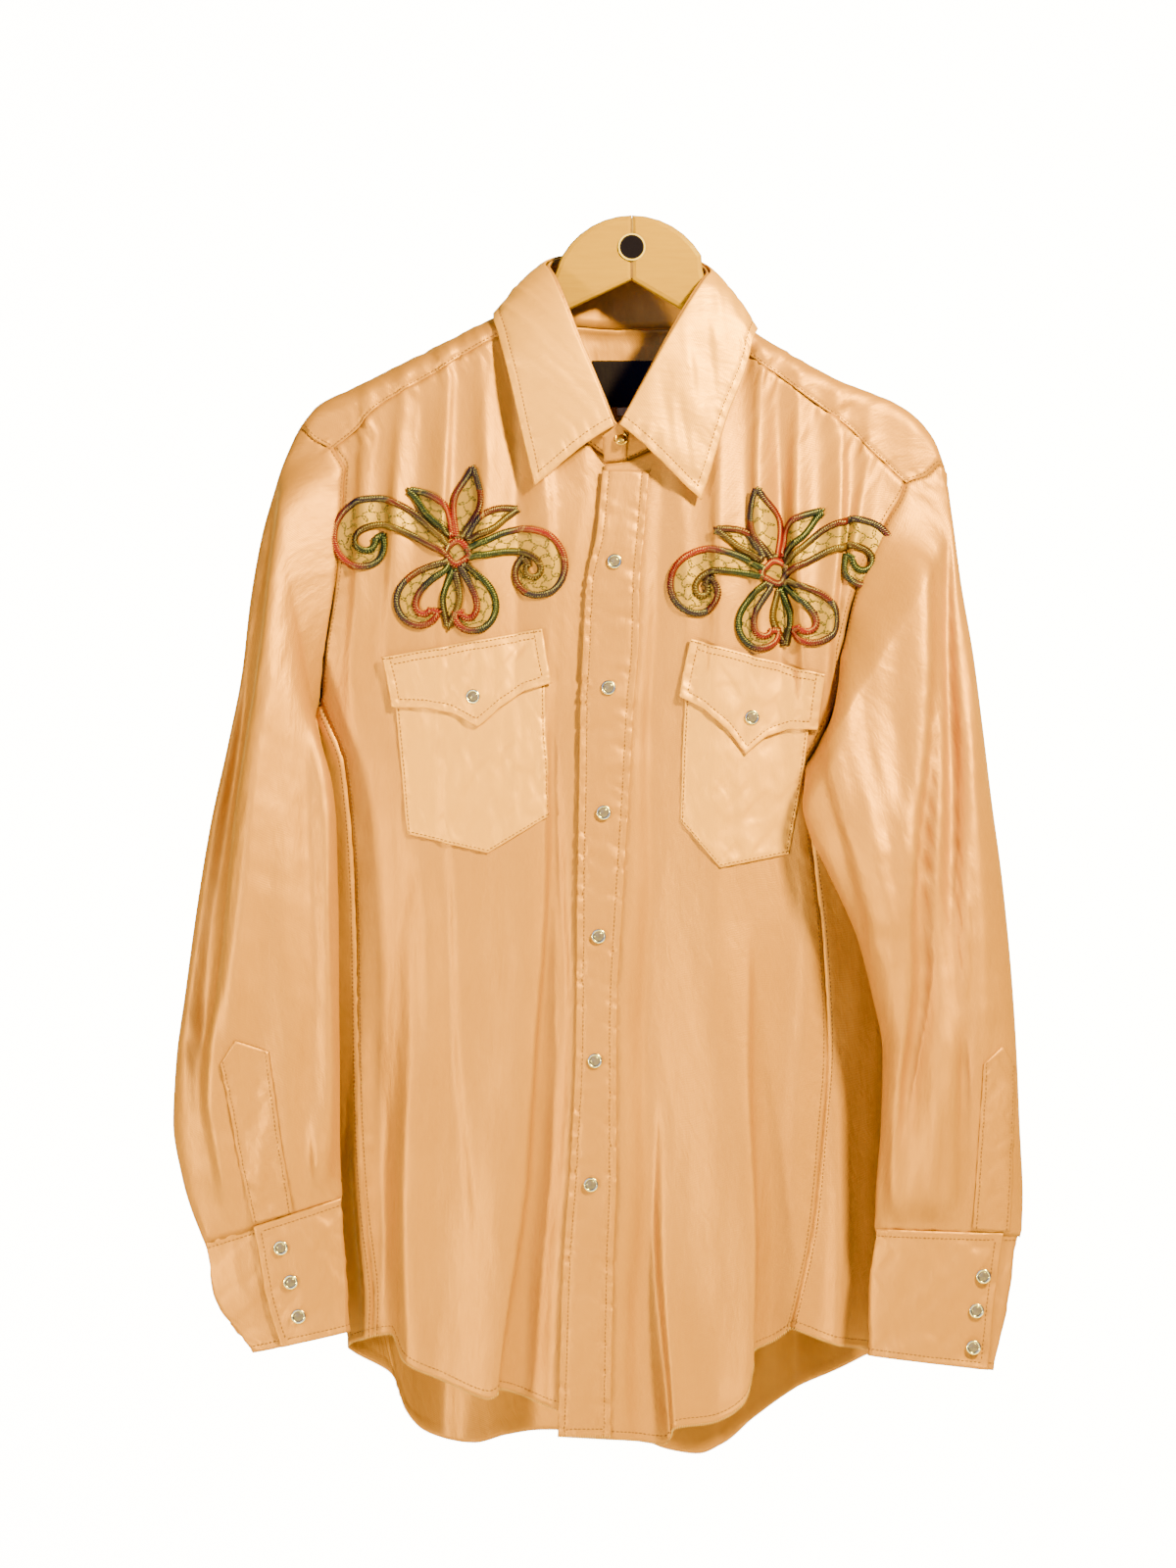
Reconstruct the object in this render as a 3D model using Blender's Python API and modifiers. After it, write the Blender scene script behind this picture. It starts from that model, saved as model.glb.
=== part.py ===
"""Western snap shirt hanging on a flat wooden hanger.

The shirt hangs in the X-Z plane and faces -Y, with +Z up. The origin is the top of
the hanger's hub, where its hook screws in. Left and right are the viewer's, and the
tables below are in millimetres. Every wall is an open sheet with its outer face
where the tables put it, and Solidify gives it its thickness inwards.
"""
import math
from types import SimpleNamespace

import bmesh
import bpy
import numpy as np
from mathutils import Vector

MM = 0.001
FRONT, BACK = 0, 1

# Walls and gaps
CLOTH = 1.0
BAND = 1.5
SEAM = 0.3
TURNED_SEAM = 0.8      # where two walls meet at a turn, so that their inner faces clear
SIDE_SEAM = 2.0        # armholes and sides, where they turn most
LAY = 0.8
SLEEVE_LIFT = 1.4      # how far a sleeve's edge stands out from the armhole

# The torso as closed sections: height, left and right edge, front and back depth, and
# how square the section is
TORSO = [
    (-50, -238, 224, 18, 20, 4.0),
    (-150, -238, 224, 22, 26, 4.0),
    (-166, -248, 224, 24, 28, 3.9),
    (-182, -253, 225, 25, 29, 3.8),
    (-208, -258, 236, 27, 30, 3.6),
    (-258, -262, 234, 30, 32, 3.1),
    (-291, -254, 226, 31, 32, 2.8),
    (-326, -236, 208, 32, 32, 2.6),
    (-345, -221, 196, 33, 32, 2.5),
    (-365, -215, 187, 33, 32, 2.5),
    (-389, -212.5, 182, 34, 32, 2.5),
    (-459, -210, 179, 34, 32, 2.5),
    (-600, -208, 175, 35, 34, 2.5),
    (-700, -203, 172, 37, 36, 2.5),
    (-805, -197, 168, 38, 38, 2.5),
    (-885, -190, 165, 38, 38, 2.5),
]
TORSO_COLUMNS = ("height", "left", "right", "front", "back", "fullness")

# The line along the top of both shoulders, and how round the cloth turns over it
SHOULDER = [
    (-240, -158, 12, 12),
    (-237, -153, 12, 12),
    (-222, -134.5, 13, 13),
    (-200, -123.5, 13, 13),
    (-150, -98.5, 13, 13),
    (-98.7, -73, 13, 13),
    (-83, -66.5, 13.5, 14.5),
    (-60, -60, 15, 24),
    (0, -56, 18, 34),
    (55, -62, 15, 24),
    (72, -73, 13.5, 14.5),
    (87, -82.8, 13, 13),
    (145, -116, 13, 13),
    (194, -137.3, 13, 13),
    (214.6, -159.4, 12, 12),
    (222.2, -179.4, 12, 12),
]
SHOULDER_COLUMNS = ("x", "top", "front_radius", "back_radius")

# The front placket's two long edges
PLACKET = [
    (-182, -21, 12),
    (-226, -25, 8.3),
    (-262, -32.4, 5.5),
    (-303, -34.5, 4.8),
    (-349, -36.6, 1),
    (-406, -37.3, -2),
    (-472, -38.6, -6),
    (-579, -39.5, -11),
    (-680, -44.2, -11),
    (-737, -48.5, -13),
    (-862, -52.4, -15.2),
]
PLACKET_COLUMNS = ("height", "left", "right")
PLACKET_REACH = 10     # how far from the placket the folds die out
UNDERLAP = 2.5         # how far the lower front lies behind the upper one
UNDERLAP_WIDTH = 22
RIGHT_EDGE_INSET = 1.5

# Folds as ridges from top to bottom: x, z at three heights, their rise there, and
# how wide each flank is
FOLD_FADE = 60
FOLD_COLUMNS = ("x1", "z1", "x2", "z2", "x3", "z3", "rise1", "rise2", "rise3",
                "left", "right")
FRONT_FOLDS = [
    (-158, -480, -164, -644, -163.5, -870, 0, 9, 15, 6, 42),
    (-61, -330, -68, -560, -105, -870, 1, 7, 13, 40, 6),
    (-55, -470, -47, -600, -57, -870, 1, 4, 5, 8, 6),
    (-166, -470, -149, -530, -146, -620, 0, 3, 1, 15, 15),
    (46, -480, 38.6, -570, 30, -730, 1, 6, 7, 8, 30),
    (19, -640, 23.5, -763, 33, -868, 0, 6, 9, 7, 20),
    (81, -560, 81.4, -700, 80.7, -870, 0, 9, 13, 36, 6),
    (112, -560, 106, -700, 99, -850, 0, 4, 5, 12, 14),
    (-160, -150, -165, -200, -172, -260, 1.5, 2.2, 1, 9, 9),
    (-128, -140, -130, -180, -133, -240, 1.5, 1.8, 1, 9, 9),
    (108, -140, 110, -190, 112, -260, 1.5, 2, 1, 9, 9),
    (140, -165, 136, -220, 130, -280, 1.5, 2, 1, 9, 9),
    (-195, -640, -190, -700, -186, -850, 0, 3, 4, 6, 9),
    (150, -640, 146, -720, 143, -850, 0, 4, 5, 10, 10),
]
BACK_FOLDS = [
    (-120, -260, -128, -560, -135, -870, 3, 7, 9, 22, 14),
    (-62, -260, -66, -560, -72, -880, 2, 6, 8, 16, 22),
    (-5, -270, -4, -560, -2, -880, 5, 8, 9, 20, 20),
    (55, -260, 58, -560, 62, -885, 2, 6, 8, 22, 15),
    (112, -260, 116, -560, 120, -850, 3, 7, 9, 14, 22),
]

# Seams and edges as x, z and the side of the torso
YOKE_SEAM_LEFT = [(-212, -166), (-181.5, -138), (-146, -116), (-96, -87), (-86, -82)]
YOKE_SEAM_RIGHT = [(76, -95), (81.4, -98.7), (127.6, -131.8), (158.7, -155.9), (194, -190)]
NECKLINE_LEFT = [(-86, -82), (-84, -100), (-72, -125), (-50, -148), (-26, -167), (-4, -177)]
NECKLINE_RIGHT = [(-19.5, -178), (5, -172), (35, -157), (58, -133), (71, -112), (76, -95)]
NECK_BACK = [
    (-86, -82, FRONT), (-85.2, -70.5, FRONT), (-83, -66.5, BACK), (-78, -67.5, BACK),
    (-66, -73, BACK), (-50, -75.7, BACK), (-35, -77.5, BACK), (-3, -79, BACK),
    (35, -79, BACK), (48, -78.2, BACK), (60, -77, BACK), (70, -76, BACK),
    (74.5, -75.5, BACK), (76, -80, FRONT), (76, -95, FRONT),
]
YOKE_BACK = [(-208, -198), (-105, -220), (-3, -241), (100, -226), (192, -212)]
YOKE_END_LEFT = [
    (-212, -166, FRONT), (-224, -160, FRONT), (-237, -153, FRONT),
    (-225, -166, BACK), (-214, -182, BACK), (-208, -198, BACK),
]
YOKE_END_RIGHT = [
    (194, -190, FRONT), (208, -185, FRONT), (222, -180, FRONT),
    (210, -187, BACK), (199, -199, BACK), (192, -212, BACK),
]
ARMHOLE_LEFT = [(-212, -166), (-203.5, -182), (-205, -208), (-209, -258), (-214, -291),
                (-219, -326), (-221, -345)]
ARMHOLE_RIGHT = [(194, -190), (184, -211), (171, -237), (159, -266), (148, -308),
                 (143, -349), (131, -375), (122, -390)]
ARMHOLE_BACK_LEFT = [(-208, -198, BACK), (-206, -240, BACK), (-210, -290, BACK),
                     (-217, -325, BACK), (-221, -345, BACK)]
ARMHOLE_BACK_RIGHT = [(192, -212, BACK), (190, -260, BACK), (190, -310, BACK),
                      (192, -350, BACK), (168, -374, FRONT), (145, -384, FRONT),
                      (122, -390, FRONT)]
SIDE_LEFT = [(-221, -345), (-204, -390), (-197, -470), (-195, -540), (-193, -619),
             (-187, -704), (-181, -758), (-181, -793)]
SIDE_RIGHT = [(122, -390), (128, -450), (136, -520), (139, -590), (135, -645),
              (128, -715), (112, -787)]
HEM_LEFT = [(-181, -793), (-170, -791), (-161, -808), (-135, -821), (-103, -834),
            (-92, -829), (-53, -842), (-25, -850)]
HEM_RIGHT = [(-51, -862), (-15, -864), (22, -868), (34, -855), (54.5, -852), (74, -836),
             (83, -804), (100, -796), (112, -787)]
HEM_BACK = [
    (112, -787, FRONT), (143, -798, FRONT), (168, -808, BACK), (143, -822, BACK),
    (112, -838, BACK), (88, -855, BACK), (64, -876, BACK), (48, -882, BACK),
    (28, -879, BACK), (-10, -868, BACK), (-53, -865, BACK), (-89, -868, BACK),
    (-112, -873.5, BACK), (-129, -872, BACK), (-148, -865, BACK), (-161.5, -849, BACK),
    (-170, -825, BACK), (-197, -807, BACK), (-181, -793, FRONT),
]

# The neck, from the left leaf's lower end round the back to the right one's: where the
# collar folds, its outer edge, and the top of the stand under it
COLLAR = [
    (-12.4, -37, -151, -69, -32, -193),
    (-24, -35, -121, -78, -31, -155),
    (-37, -31, -91, -87, -27, -115),
    (-50, -23, -58, -95, -19, -84),
    (-57.5, -13, -41, -98, -13, -74),
    (-61.5, -3, -34, -98.5, -3, -69.5),
    (-60.5, 9, -31, -97, 9, -71),
    (-46, 27, -26, -84, 26, -80),
    (-3, 40, -25, -3, 45, -90),
    (41, 27, -28, 76, 27, -89),
    (55, 9, -35.5, 88.5, 8, -81),
    (56, -3, -39, 89.5, -4, -80.5),
    (51, -13, -46, 86, -15, -88),
    (40, -22, -63, 80, -21, -111),
    (22, -31, -94, 68, -26, -142),
    (7, -35, -121, 58.5, -30, -172),
    (-9, -37, -150, 49, -33, -203),
]
COLLAR_BULGE = 4.5
COLLAR_SIDES = (4, 12)     # the rows above both shoulders
STAND_INSET = 2.4
STAND_DROP = 1.0
STAND_TAB_LEFT = (-2, -28, -156)
STAND_TAB_RIGHT = (-21, -31.5, -158)
STAND_LIFT = 0.8
TAB_LIFT = 0.8             # clears the tab's twist below its snap

# Sleeves as rings: the outer and inner point of each, its front and back depth
SLEEVE_COLUMNS = ("outer_x", "outer_y", "outer_z", "inner_x", "inner_y", "inner_z",
                  "front", "back")
SLEEVE_LEFT = [
    (-251, -3, -188, -223, -8, -362, 25, 30),
    (-262, -7, -228, -217, -20, -382, 27, 22),
    (-270, -12, -275, -211, -30, -404, 28, 17),
    (-275.5, -18, -325, -208, -36, -430, 27, 17),
    (-285, -24, -375, -207, -40, -462, 26, 16),
    (-297, -30, -432, -206, -43, -495, 25, 15),
    (-306, -34, -488, -205.7, -45, -530, 24, 14),
    (-314, -37, -548, -205.4, -46, -570, 22, 14),
    (-320.5, -39, -598, -205, -46, -610, 20, 13),
    (-322.5, -40, -640, -205, -46, -645, 18, 12),
    (-316, -41, -680, -204.5, -45, -672, 14, 11),
    (-302, -41, -724.2, -203.5, -43, -692.7, 9, 9),
]
SLEEVE_RIGHT = [
    (228, -5, -222, 121, -41, -403, 26, 24),
    (233, -10, -262, 119.4, -47, -418, 26, 20),
    (241, -18, -312, 124, -50, -438, 26, 17),
    (247, -26, -362, 133, -54, -457, 25, 16),
    (253, -33, -415, 145, -56, -482, 24, 15),
    (260, -39, -470, 157, -58, -510, 23, 15),
    (266.5, -44, -540, 167, -58, -548, 21, 14),
    (269.5, -48, -590, 175, -58, -592, 19, 13),
    (271.5, -50, -640, 174, -58, -640, 17, 12),
    (273.8, -50, -690, 170.3, -56, -690, 13, 11),
    (273, -50, -717.3, 169.7, -53, -713.7, 9, 9),
]
SLEEVE_FULLNESS = 0.85
SLEEVE_BACK_SPREAD = 0.8
SLEEVE_BACK_EASE = 8
SLEEVE_HANG = 3
SLEEVE_LEFT_FOLDS = [
    (-243, -185, -264, -360, -291, -585, 3, 5, 3, 6, 26),
    (-232, -190, -226, -260, -219, -320, 2, 4, 1, 11, 12),
    (-262, -400, -258, -520, -262, -640, 0, 3, 2, 14, 14),
    (-228, -520, -236, -600, -240, -690, 0, 3, 3, 10, 10),
]
SLEEVE_RIGHT_FOLDS = [
    (203, -215, 205, -310, 190, -450, 3, 8, 6, 26, 6),
    (214, -225, 214, -320, 201, -470, 2, 4, 3, 6, 5),
    (223, -240, 225, -380, 228, -560, -2, -5, -4, 8, 8),
    (190, -470, 191, -530, 181, -600, 5, 5, 4, 16, 6),
    (229, -480, 226, -582, 218, -714, 1, 4, 3, 16, 7),
    (208, -600, 208, -650, 207, -711, 1, 3, 3, 12, 7),
]

# Cuffs: the outer and inner point of the top and bottom edge, and where the lap ends
# as a part of the way from the inner to the outer point
CUFF_COLUMNS = ("outer_x", "outer_y", "outer_z", "inner_x", "inner_y", "inner_z",
                "lap_end")
CUFF_LEFT = [
    (-302, -41, -724.8, -203.5, -43, -693.3, 0.63),
    (-296, -41, -764, -200, -43, -740, 0.61),
    (-269, -41, -803, -197, -43, -787, 0.68),
]
CUFF_RIGHT = [
    (273, -50, -717.9, 169.7, -53, -714.3, 0.87),
    (267, -50, -762, 164.5, -53, -758, 0.87),
    (255, -50, -814, 163.5, -53, -803, 0.93),
]
CUFF_DEPTH = 9.5
CUFF_LAP = math.radians(28)
CUFF_LAP_GAP = 2.7

# Sleeve plackets: the tip, both shoulders and the foot, as x and z on the sleeve
SLEEVE_PLACKET_LEFT = {"tip": (-275, -582), "upper": [(-285, -598), (-254, -590)],
                       "middle": [(-277, -655), (-246, -655)],
                       "foot": [(-266, -711), (-238, -703)]}
SLEEVE_PLACKET_RIGHT = {"tip": (258, -586), "upper": [(245, -598), (267, -601)],
                        "middle": [(241.5, -655), (266, -657)],
                        "foot": [(238, -714), (264, -716)]}

# Pockets and their flaps, as x and z on the fronts
POCKET_LEFT = {"top": [(-168, -332), (-62, -318)],
               "left": [(-168, -332), (-166, -351), (-158, -438)],
               "bottom": [(-158, -438), (-102, -451.5), (-60, -425)],
               "right": [(-62, -318), (-62, -370), (-60, -425)]}
POCKET_RIGHT = {"top": [(38.5, -325), (127, -346)],
                "left": [(38.5, -325), (36, -380), (34.5, -429)],
                "bottom": [(34.5, -429), (62, -461.6), (110.4, -452)],
                "right": [(127, -346), (121, -390), (110.4, -452)]}
FLAP_LEFT = {"top": [(-174.6, -313.3), (-63.5, -293.9)],
             "left": [(-174.6, -313.3), (-169, -349)],
             "bottom": [(-169, -349), (-145, -349.5), (-125, -353.5), (-108, -363),
                        (-93, -349), (-76, -338), (-58, -332)],
             "right": [(-63.5, -293.9), (-58, -332)]}
FLAP_RIGHT = {"top": [(40.7, -300.8), (133.9, -325.7)],
              "left": [(40.7, -300.8), (33.8, -341.5)],
              "bottom": [(33.8, -341.5), (52, -351), (67, -365), (79.3, -382.3),
                         (93, -370), (110, -364.5), (130.4, -364.3)],
              "right": [(133.9, -325.7), (130.4, -364.3)]}
POCKET_LIFT = LAY + CLOTH
FLAP_LIFT = POCKET_LIFT + LAY + BAND
PLACKET_GAP = 1.1      # between the fronts and the placket's inner face
PLACKET_LIFT = PLACKET_GAP + BAND

# Snaps
SNAP_RADIUS = 5.0
SNAP_CROWN = 3.8
SNAP_HEIGHT = 2.4
SNAP_GAP = 0.5
FRONT_SNAPS = [(-12.4, -246.3), (-16.6, -335.3), (-20, -423), (-23.5, -510),
               (-26.2, -597.5), (-29, -684.5)]
POCKET_SNAPS = {"left": (-111.8, -341.5), "right": (84.2, -356)}
CUFF_SNAPS = {"left": [(-246.3, -728), (-239.4, -752), (-233.9, -776)],
              "right": [(245.6, -747.3), (240.8, -771.4), (238.7, -797)]}

# Label and tag inside the back of the neck, as left, right, top and bottom
NECK_LABEL = (-28.3, 22, -101, -134)
SIZE_TAG = (-10.3, -1.4, -134.5, -140)
LABEL_THICKNESS = 0.6
LABEL_LIFT = CLOTH + 1.4

# Hanger
HANGER_THICKNESS = 11
HANGER_EDGE = 3.5
HANGER_CLEARANCE = 1.9
HUB_RADIUS = 57
HUB_END_ANGLE = math.radians(60)
HUB_UNDERSIDE = 46
ARM_NECK = {"left": [(53, 37), (58, 50), (67, 62), (82, 71)],
            "right": [(50, 38.5), (53.5, 52), (61, 67), (71, 79.5)]}
ARM_START = {"left": 92, "right": 84}
ARM_END = {"left": 198, "right": 181}
ARM_UNDERSIDE_SLOPE = {"left": 0.47, "right": 0.6}
ARM_TIP_HEIGHT = 16
DISC_CENTRE = (0, -22.8)
DISC_RADIUS = 9.7
DISC_THICKNESS = 0.8

COLOURS = {
    "shirt_cloth": ((0.78, 0.48, 0.24), 0.55, 0.0),
    "pearl": ((0.75, 0.74, 0.70), 0.25, 0.0),
    "snap_metal": ((0.70, 0.62, 0.42), 0.3, 1.0),
    "label_cloth": ((0.02, 0.02, 0.025), 0.7, 0.0),
    "tag_cloth": ((0.8, 0.78, 0.74), 0.8, 0.0),
    "hanger_wood": ((0.72, 0.46, 0.12), 0.45, 0.0),
    "disc": ((0.02, 0.02, 0.02), 0.4, 0.0),
}


# Curves through tables

def smooth_curve(keys, values):
    """Smooth curve that never overshoots its points."""
    keys = np.asarray(keys, float)
    values = np.asarray(values, float)
    steps = np.diff(keys)
    slopes = np.diff(values) / steps
    tangents = np.zeros(len(keys))
    tangents[0], tangents[-1] = slopes[0], slopes[-1]
    for i in range(1, len(keys) - 1):
        if slopes[i - 1] * slopes[i] > 0:
            near, far = steps[i - 1], steps[i]
            weights = (2 * far + near, far + 2 * near)
            tangents[i] = sum(weights) / (weights[0] / slopes[i - 1] + weights[1] / slopes[i])

    def curve(key):
        i = int(np.clip(np.searchsorted(keys, key) - 1, 0, len(steps) - 1))
        t = min(max((key - keys[i]) / steps[i], 0), 1)
        span = steps[i]
        return ((1 + 2 * t) * (1 - t) ** 2 * values[i] + t * (1 - t) ** 2 * span * tangents[i]
                + t * t * (3 - 2 * t) * values[i + 1] - t * t * (1 - t) * span * tangents[i + 1])

    return curve


def table_curves(table, names):
    """One smooth curve for each column after the first, against the first."""
    rows = sorted(table)
    keys = [row[0] for row in rows]
    return SimpleNamespace(**{
        name: smooth_curve(keys, [row[i] for row in rows])
        for i, name in enumerate(names) if i
    })


def smooth_step(value):
    value = min(max(value, 0), 1)
    return value * value * (3 - 2 * value)


def signed_power(value, power):
    return math.copysign(abs(value) ** power, value)


def stations(points, count, place=None):
    """count + 1 points at even steps along a smooth path; place maps them to 3-D."""
    points = np.asarray(points, float)
    places = points if place is None else np.asarray([place(*point) for point in points])
    lengths = np.concatenate([[0], np.cumsum(np.linalg.norm(np.diff(places, axis=0), axis=1))])
    curves = [smooth_curve(lengths, points[:, i]) for i in range(points.shape[1])]
    return np.asarray([[curve(length) for curve in curves]
                       for length in np.linspace(0, lengths[-1], count + 1)])


def polyline(points, count):
    """count + 1 points at even steps along straight runs."""
    points = np.asarray(points, float)
    lengths = np.concatenate([[0], np.cumsum(np.linalg.norm(np.diff(points, axis=0), axis=1))])
    places = np.linspace(0, lengths[-1], count + 1)
    return np.stack([np.interp(places, lengths, points[:, i])
                     for i in range(points.shape[1])], axis=1)


def fill_patch(top, bottom, left, right, down=None):
    """Grid of points inside four edges; top and bottom run right, the others down."""
    rows, columns = len(left), len(top)
    down = np.linspace(0, 1, rows) if down is None else np.asarray(down)
    across = np.linspace(0, 1, columns)
    grid = np.zeros((rows, columns, top.shape[1]))
    for i, v in enumerate(down):
        for j, u in enumerate(across):
            edges = (1 - v) * top[j] + v * bottom[j] + (1 - u) * left[i] + u * right[i]
            corners = ((1 - v) * ((1 - u) * top[0] + u * top[-1])
                       + v * ((1 - u) * bottom[0] + u * bottom[-1]))
            grid[i, j] = edges - corners
    return grid


# Surfaces

torso = table_curves(TORSO, TORSO_COLUMNS)
shoulder = table_curves(SHOULDER, SHOULDER_COLUMNS)
placket = table_curves(PLACKET, PLACKET_COLUMNS)


def fold_height(folds, x, z):
    """Sum of the ridges at a place."""
    height = 0
    for fold in folds:
        row = dict(zip(FOLD_COLUMNS, fold))
        keys = (row["z3"], row["z2"], row["z1"])
        path = np.interp(z, keys, (row["x3"], row["x2"], row["x1"]))
        rise = np.interp(z, (row["z3"] - FOLD_FADE,) + keys + (row["z1"] + FOLD_FADE,),
                         (0, row["rise3"], row["rise2"], row["rise1"], 0))
        flank = row["left"] if x < path else row["right"]
        height += rise * math.exp(-((x - path) / flank) ** 2)
    return height


def clear_of_placket(x, z):
    outside = max(placket.left(z) - x, x - placket.right(z))
    return smooth_step((outside - 2) / PLACKET_REACH)


def torso_angle(x, z, side=FRONT):
    """Place round the torso's section: 0 in front, pi at the back."""
    left, right = torso.left(z), torso.right(z)
    across = (2 * x - left - right) / (right - left)
    angle = math.asin(signed_power(min(max(across, -1), 1), torso.fullness(z) / 2))
    return math.pi - angle if side == BACK else angle


def torso_point(angle, z):
    """Point of the torso's outer face."""
    left, right = torso.left(z), torso.right(z)
    power = 2 / torso.fullness(z)
    x = (left + right) / 2 + (right - left) / 2 * signed_power(math.sin(angle), power)
    edge = signed_power(math.cos(angle), power)
    drop = max(shoulder.top(x) - z, 0)
    if edge > 0:
        radius, depth = shoulder.front_radius(x), torso.front(z)
        fold = -fold_height(FRONT_FOLDS, x, z) * clear_of_placket(x, z)
    else:
        radius, depth = shoulder.back_radius(x), torso.back(z)
        fold = fold_height(BACK_FOLDS, x, z)
    turn = math.sqrt(1 - (1 - min(drop / radius, 1)) ** 2)
    reach = radius + max(depth - radius, 0) * smooth_step((drop - radius) / 150)
    return Vector((x, -edge * reach * turn + fold * min(1, 2 * abs(edge)) * turn, z))


def torso_normal(angle, z):
    """Direction outwards from the torso."""
    across = torso_point(angle + 0.01, z) - torso_point(angle - 0.01, z)
    upwards = torso_point(angle, z + 1) - torso_point(angle, z - 1)
    return across.cross(upwards).normalized()


def lifted_point(angle, z, lift):
    return torso_point(angle, z) + torso_normal(angle, z) * lift


def front_point(x, z, lift):
    return lifted_point(torso_angle(x, z), z, lift)


def torso_path(rows, count, turns=0):
    """Stations along a seam given as x, z and side, as angles and heights."""
    angles = np.unwrap([torso_angle(*row) for row in rows]) + turns * 2 * math.pi
    return stations([(angle, row[1]) for angle, row in zip(angles, rows)], count, torso_point)


def to_torso(grid):
    return [[torso_point(angle, z) for angle, z in row] for row in grid]


def under_placket(point):
    """Point of the left front, moved back where it lies below the right one."""
    under = smooth_step((point.x - placket.left(point.z) + 14) / 12)
    return point + Vector((0, UNDERLAP * under, 0))


# Objects

def make_material(name):
    colour, roughness, metallic = COLOURS[name]
    material = bpy.data.materials.new(name)
    material.use_nodes = True
    shader = material.node_tree.nodes["Principled BSDF"]
    shader.inputs["Base Color"].default_value = (*colour, 1)
    shader.inputs["Roughness"].default_value = roughness
    shader.inputs["Metallic"].default_value = metallic
    return material


def add_object(name, bm, material):
    mesh = bpy.data.meshes.new(name)
    bm.to_mesh(mesh)
    bm.free()
    mesh.shade_smooth()
    mesh.set_sharp_from_angle(angle=math.radians(50))
    mesh.materials.append(materials[material])
    obj = bpy.data.objects.new(name, mesh)
    collection.objects.link(obj)
    return obj


def draw_in(grid, top=0, bottom=0, left=0, right=0):
    """Edges of a grid of points moved inwards by half of each seam's gap."""
    def drawn(edge, inner, gap):
        ahead, behind = edge[1:] + edge[-1:], edge[:1] + edge[:-1]
        moved = []
        for point, other, after, before in zip(edge, inner, ahead, behind):
            along = (after - before).normalized()
            step = other - point
            moved.append(point + (step - along * step.dot(along)).normalized() * gap / 2)
        return moved

    grid = [drawn(grid[0], grid[1], top), *grid[1:-1], drawn(grid[-1], grid[-2], bottom)]
    columns = list(zip(*grid))
    columns = [drawn(columns[0], columns[1], left), *columns[1:-1],
               drawn(columns[-1], columns[-2], right)]
    return list(zip(*columns))


def add_sheet(name, grid, thickness, material="shirt_cloth", closed=False):
    """Sheet through rows of points, seen from outside top to bottom and left to right."""
    bm = bmesh.new()
    rows = [[bm.verts.new(Vector(point) * MM) for point in row] for row in grid]
    columns = len(rows[0])
    for upper, lower in zip(rows, rows[1:]):
        for j in range(columns if closed else columns - 1):
            k = (j + 1) % columns
            bm.faces.new((upper[j], lower[j], lower[k], upper[k]))
    obj = add_object(name, bm, material)
    wall = obj.modifiers.new("Wall", "SOLIDIFY")
    wall.thickness = thickness * MM
    wall.offset = -1
    return obj


# Body

YOKE_COLUMNS = 10
FRONT_COLUMNS = 16
NECKLINE_ROWS = 7
BACK_COLUMNS = 2 * YOKE_COLUMNS + len(NECK_BACK) - 1
YOKE_FRONT_ROWS, YOKE_BACK_ROWS = 9, 6
YOKE_ROWS = (0, 0.045, 0.09, 0.13, 0.17, 0.21, 0.25, 0.29, 0.33, 0.37, 0.41, 0.46, 0.54,
             0.65, 0.8, 1)
ARMHOLE_ROWS = 7
SIDE_ROWS = 14
CENTRE_ROWS = ARMHOLE_ROWS + SIDE_ROWS - NECKLINE_ROWS


def centre_edge(neckline, reach, foot):
    """Neckline and centre front, down to the hem at foot."""
    heights = np.linspace(neckline[-1][1], foot, CENTRE_ROWS + 1)[1:]
    centre = [(torso_angle(placket.left(z) + reach, z), z) for z in heights]
    return np.vstack([torso_path(neckline, NECKLINE_ROWS), centre])


def fill_front(*edges):
    """Front panel inside four edges of angles and heights, filled in as x and z."""
    edges = [np.asarray([(torso_point(*place).x, place[1]) for place in edge])
             for edge in edges]
    return to_torso([[(torso_angle(x, z), z) for x, z in row] for row in fill_patch(*edges)])


def add_front_left():
    top = torso_path(YOKE_SEAM_LEFT, FRONT_COLUMNS)
    bottom = torso_path(HEM_LEFT, FRONT_COLUMNS)
    side = np.vstack([torso_path(ARMHOLE_LEFT, ARMHOLE_ROWS),
                      torso_path(SIDE_LEFT, SIDE_ROWS)[1:]])
    centre = centre_edge(NECKLINE_LEFT, UNDERLAP_WIDTH, HEM_LEFT[-1][1])
    grid = fill_front(top, bottom, side, centre)
    grid = [[under_placket(point) for point in row] for row in grid]
    grid = draw_in(grid, top=TURNED_SEAM, left=SIDE_SEAM, right=SEAM)
    add_sheet("front_left", grid, CLOTH)


def add_front_right():
    top = torso_path(YOKE_SEAM_RIGHT, FRONT_COLUMNS)
    bottom = torso_path(HEM_RIGHT, FRONT_COLUMNS)
    side = np.vstack([torso_path(ARMHOLE_RIGHT, ARMHOLE_ROWS),
                      torso_path(SIDE_RIGHT, SIDE_ROWS)[1:]])
    centre = centre_edge(NECKLINE_RIGHT[::-1], RIGHT_EDGE_INSET, HEM_RIGHT[0][1])
    grid = fill_front(top, bottom, centre, side)
    grid = draw_in(grid, top=TURNED_SEAM, left=SEAM, right=SIDE_SEAM)
    add_sheet("front_right", grid, CLOTH)


def yoke_back_seam():
    return torso_path([(*row, BACK) for row in YOKE_BACK], BACK_COLUMNS)


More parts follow.
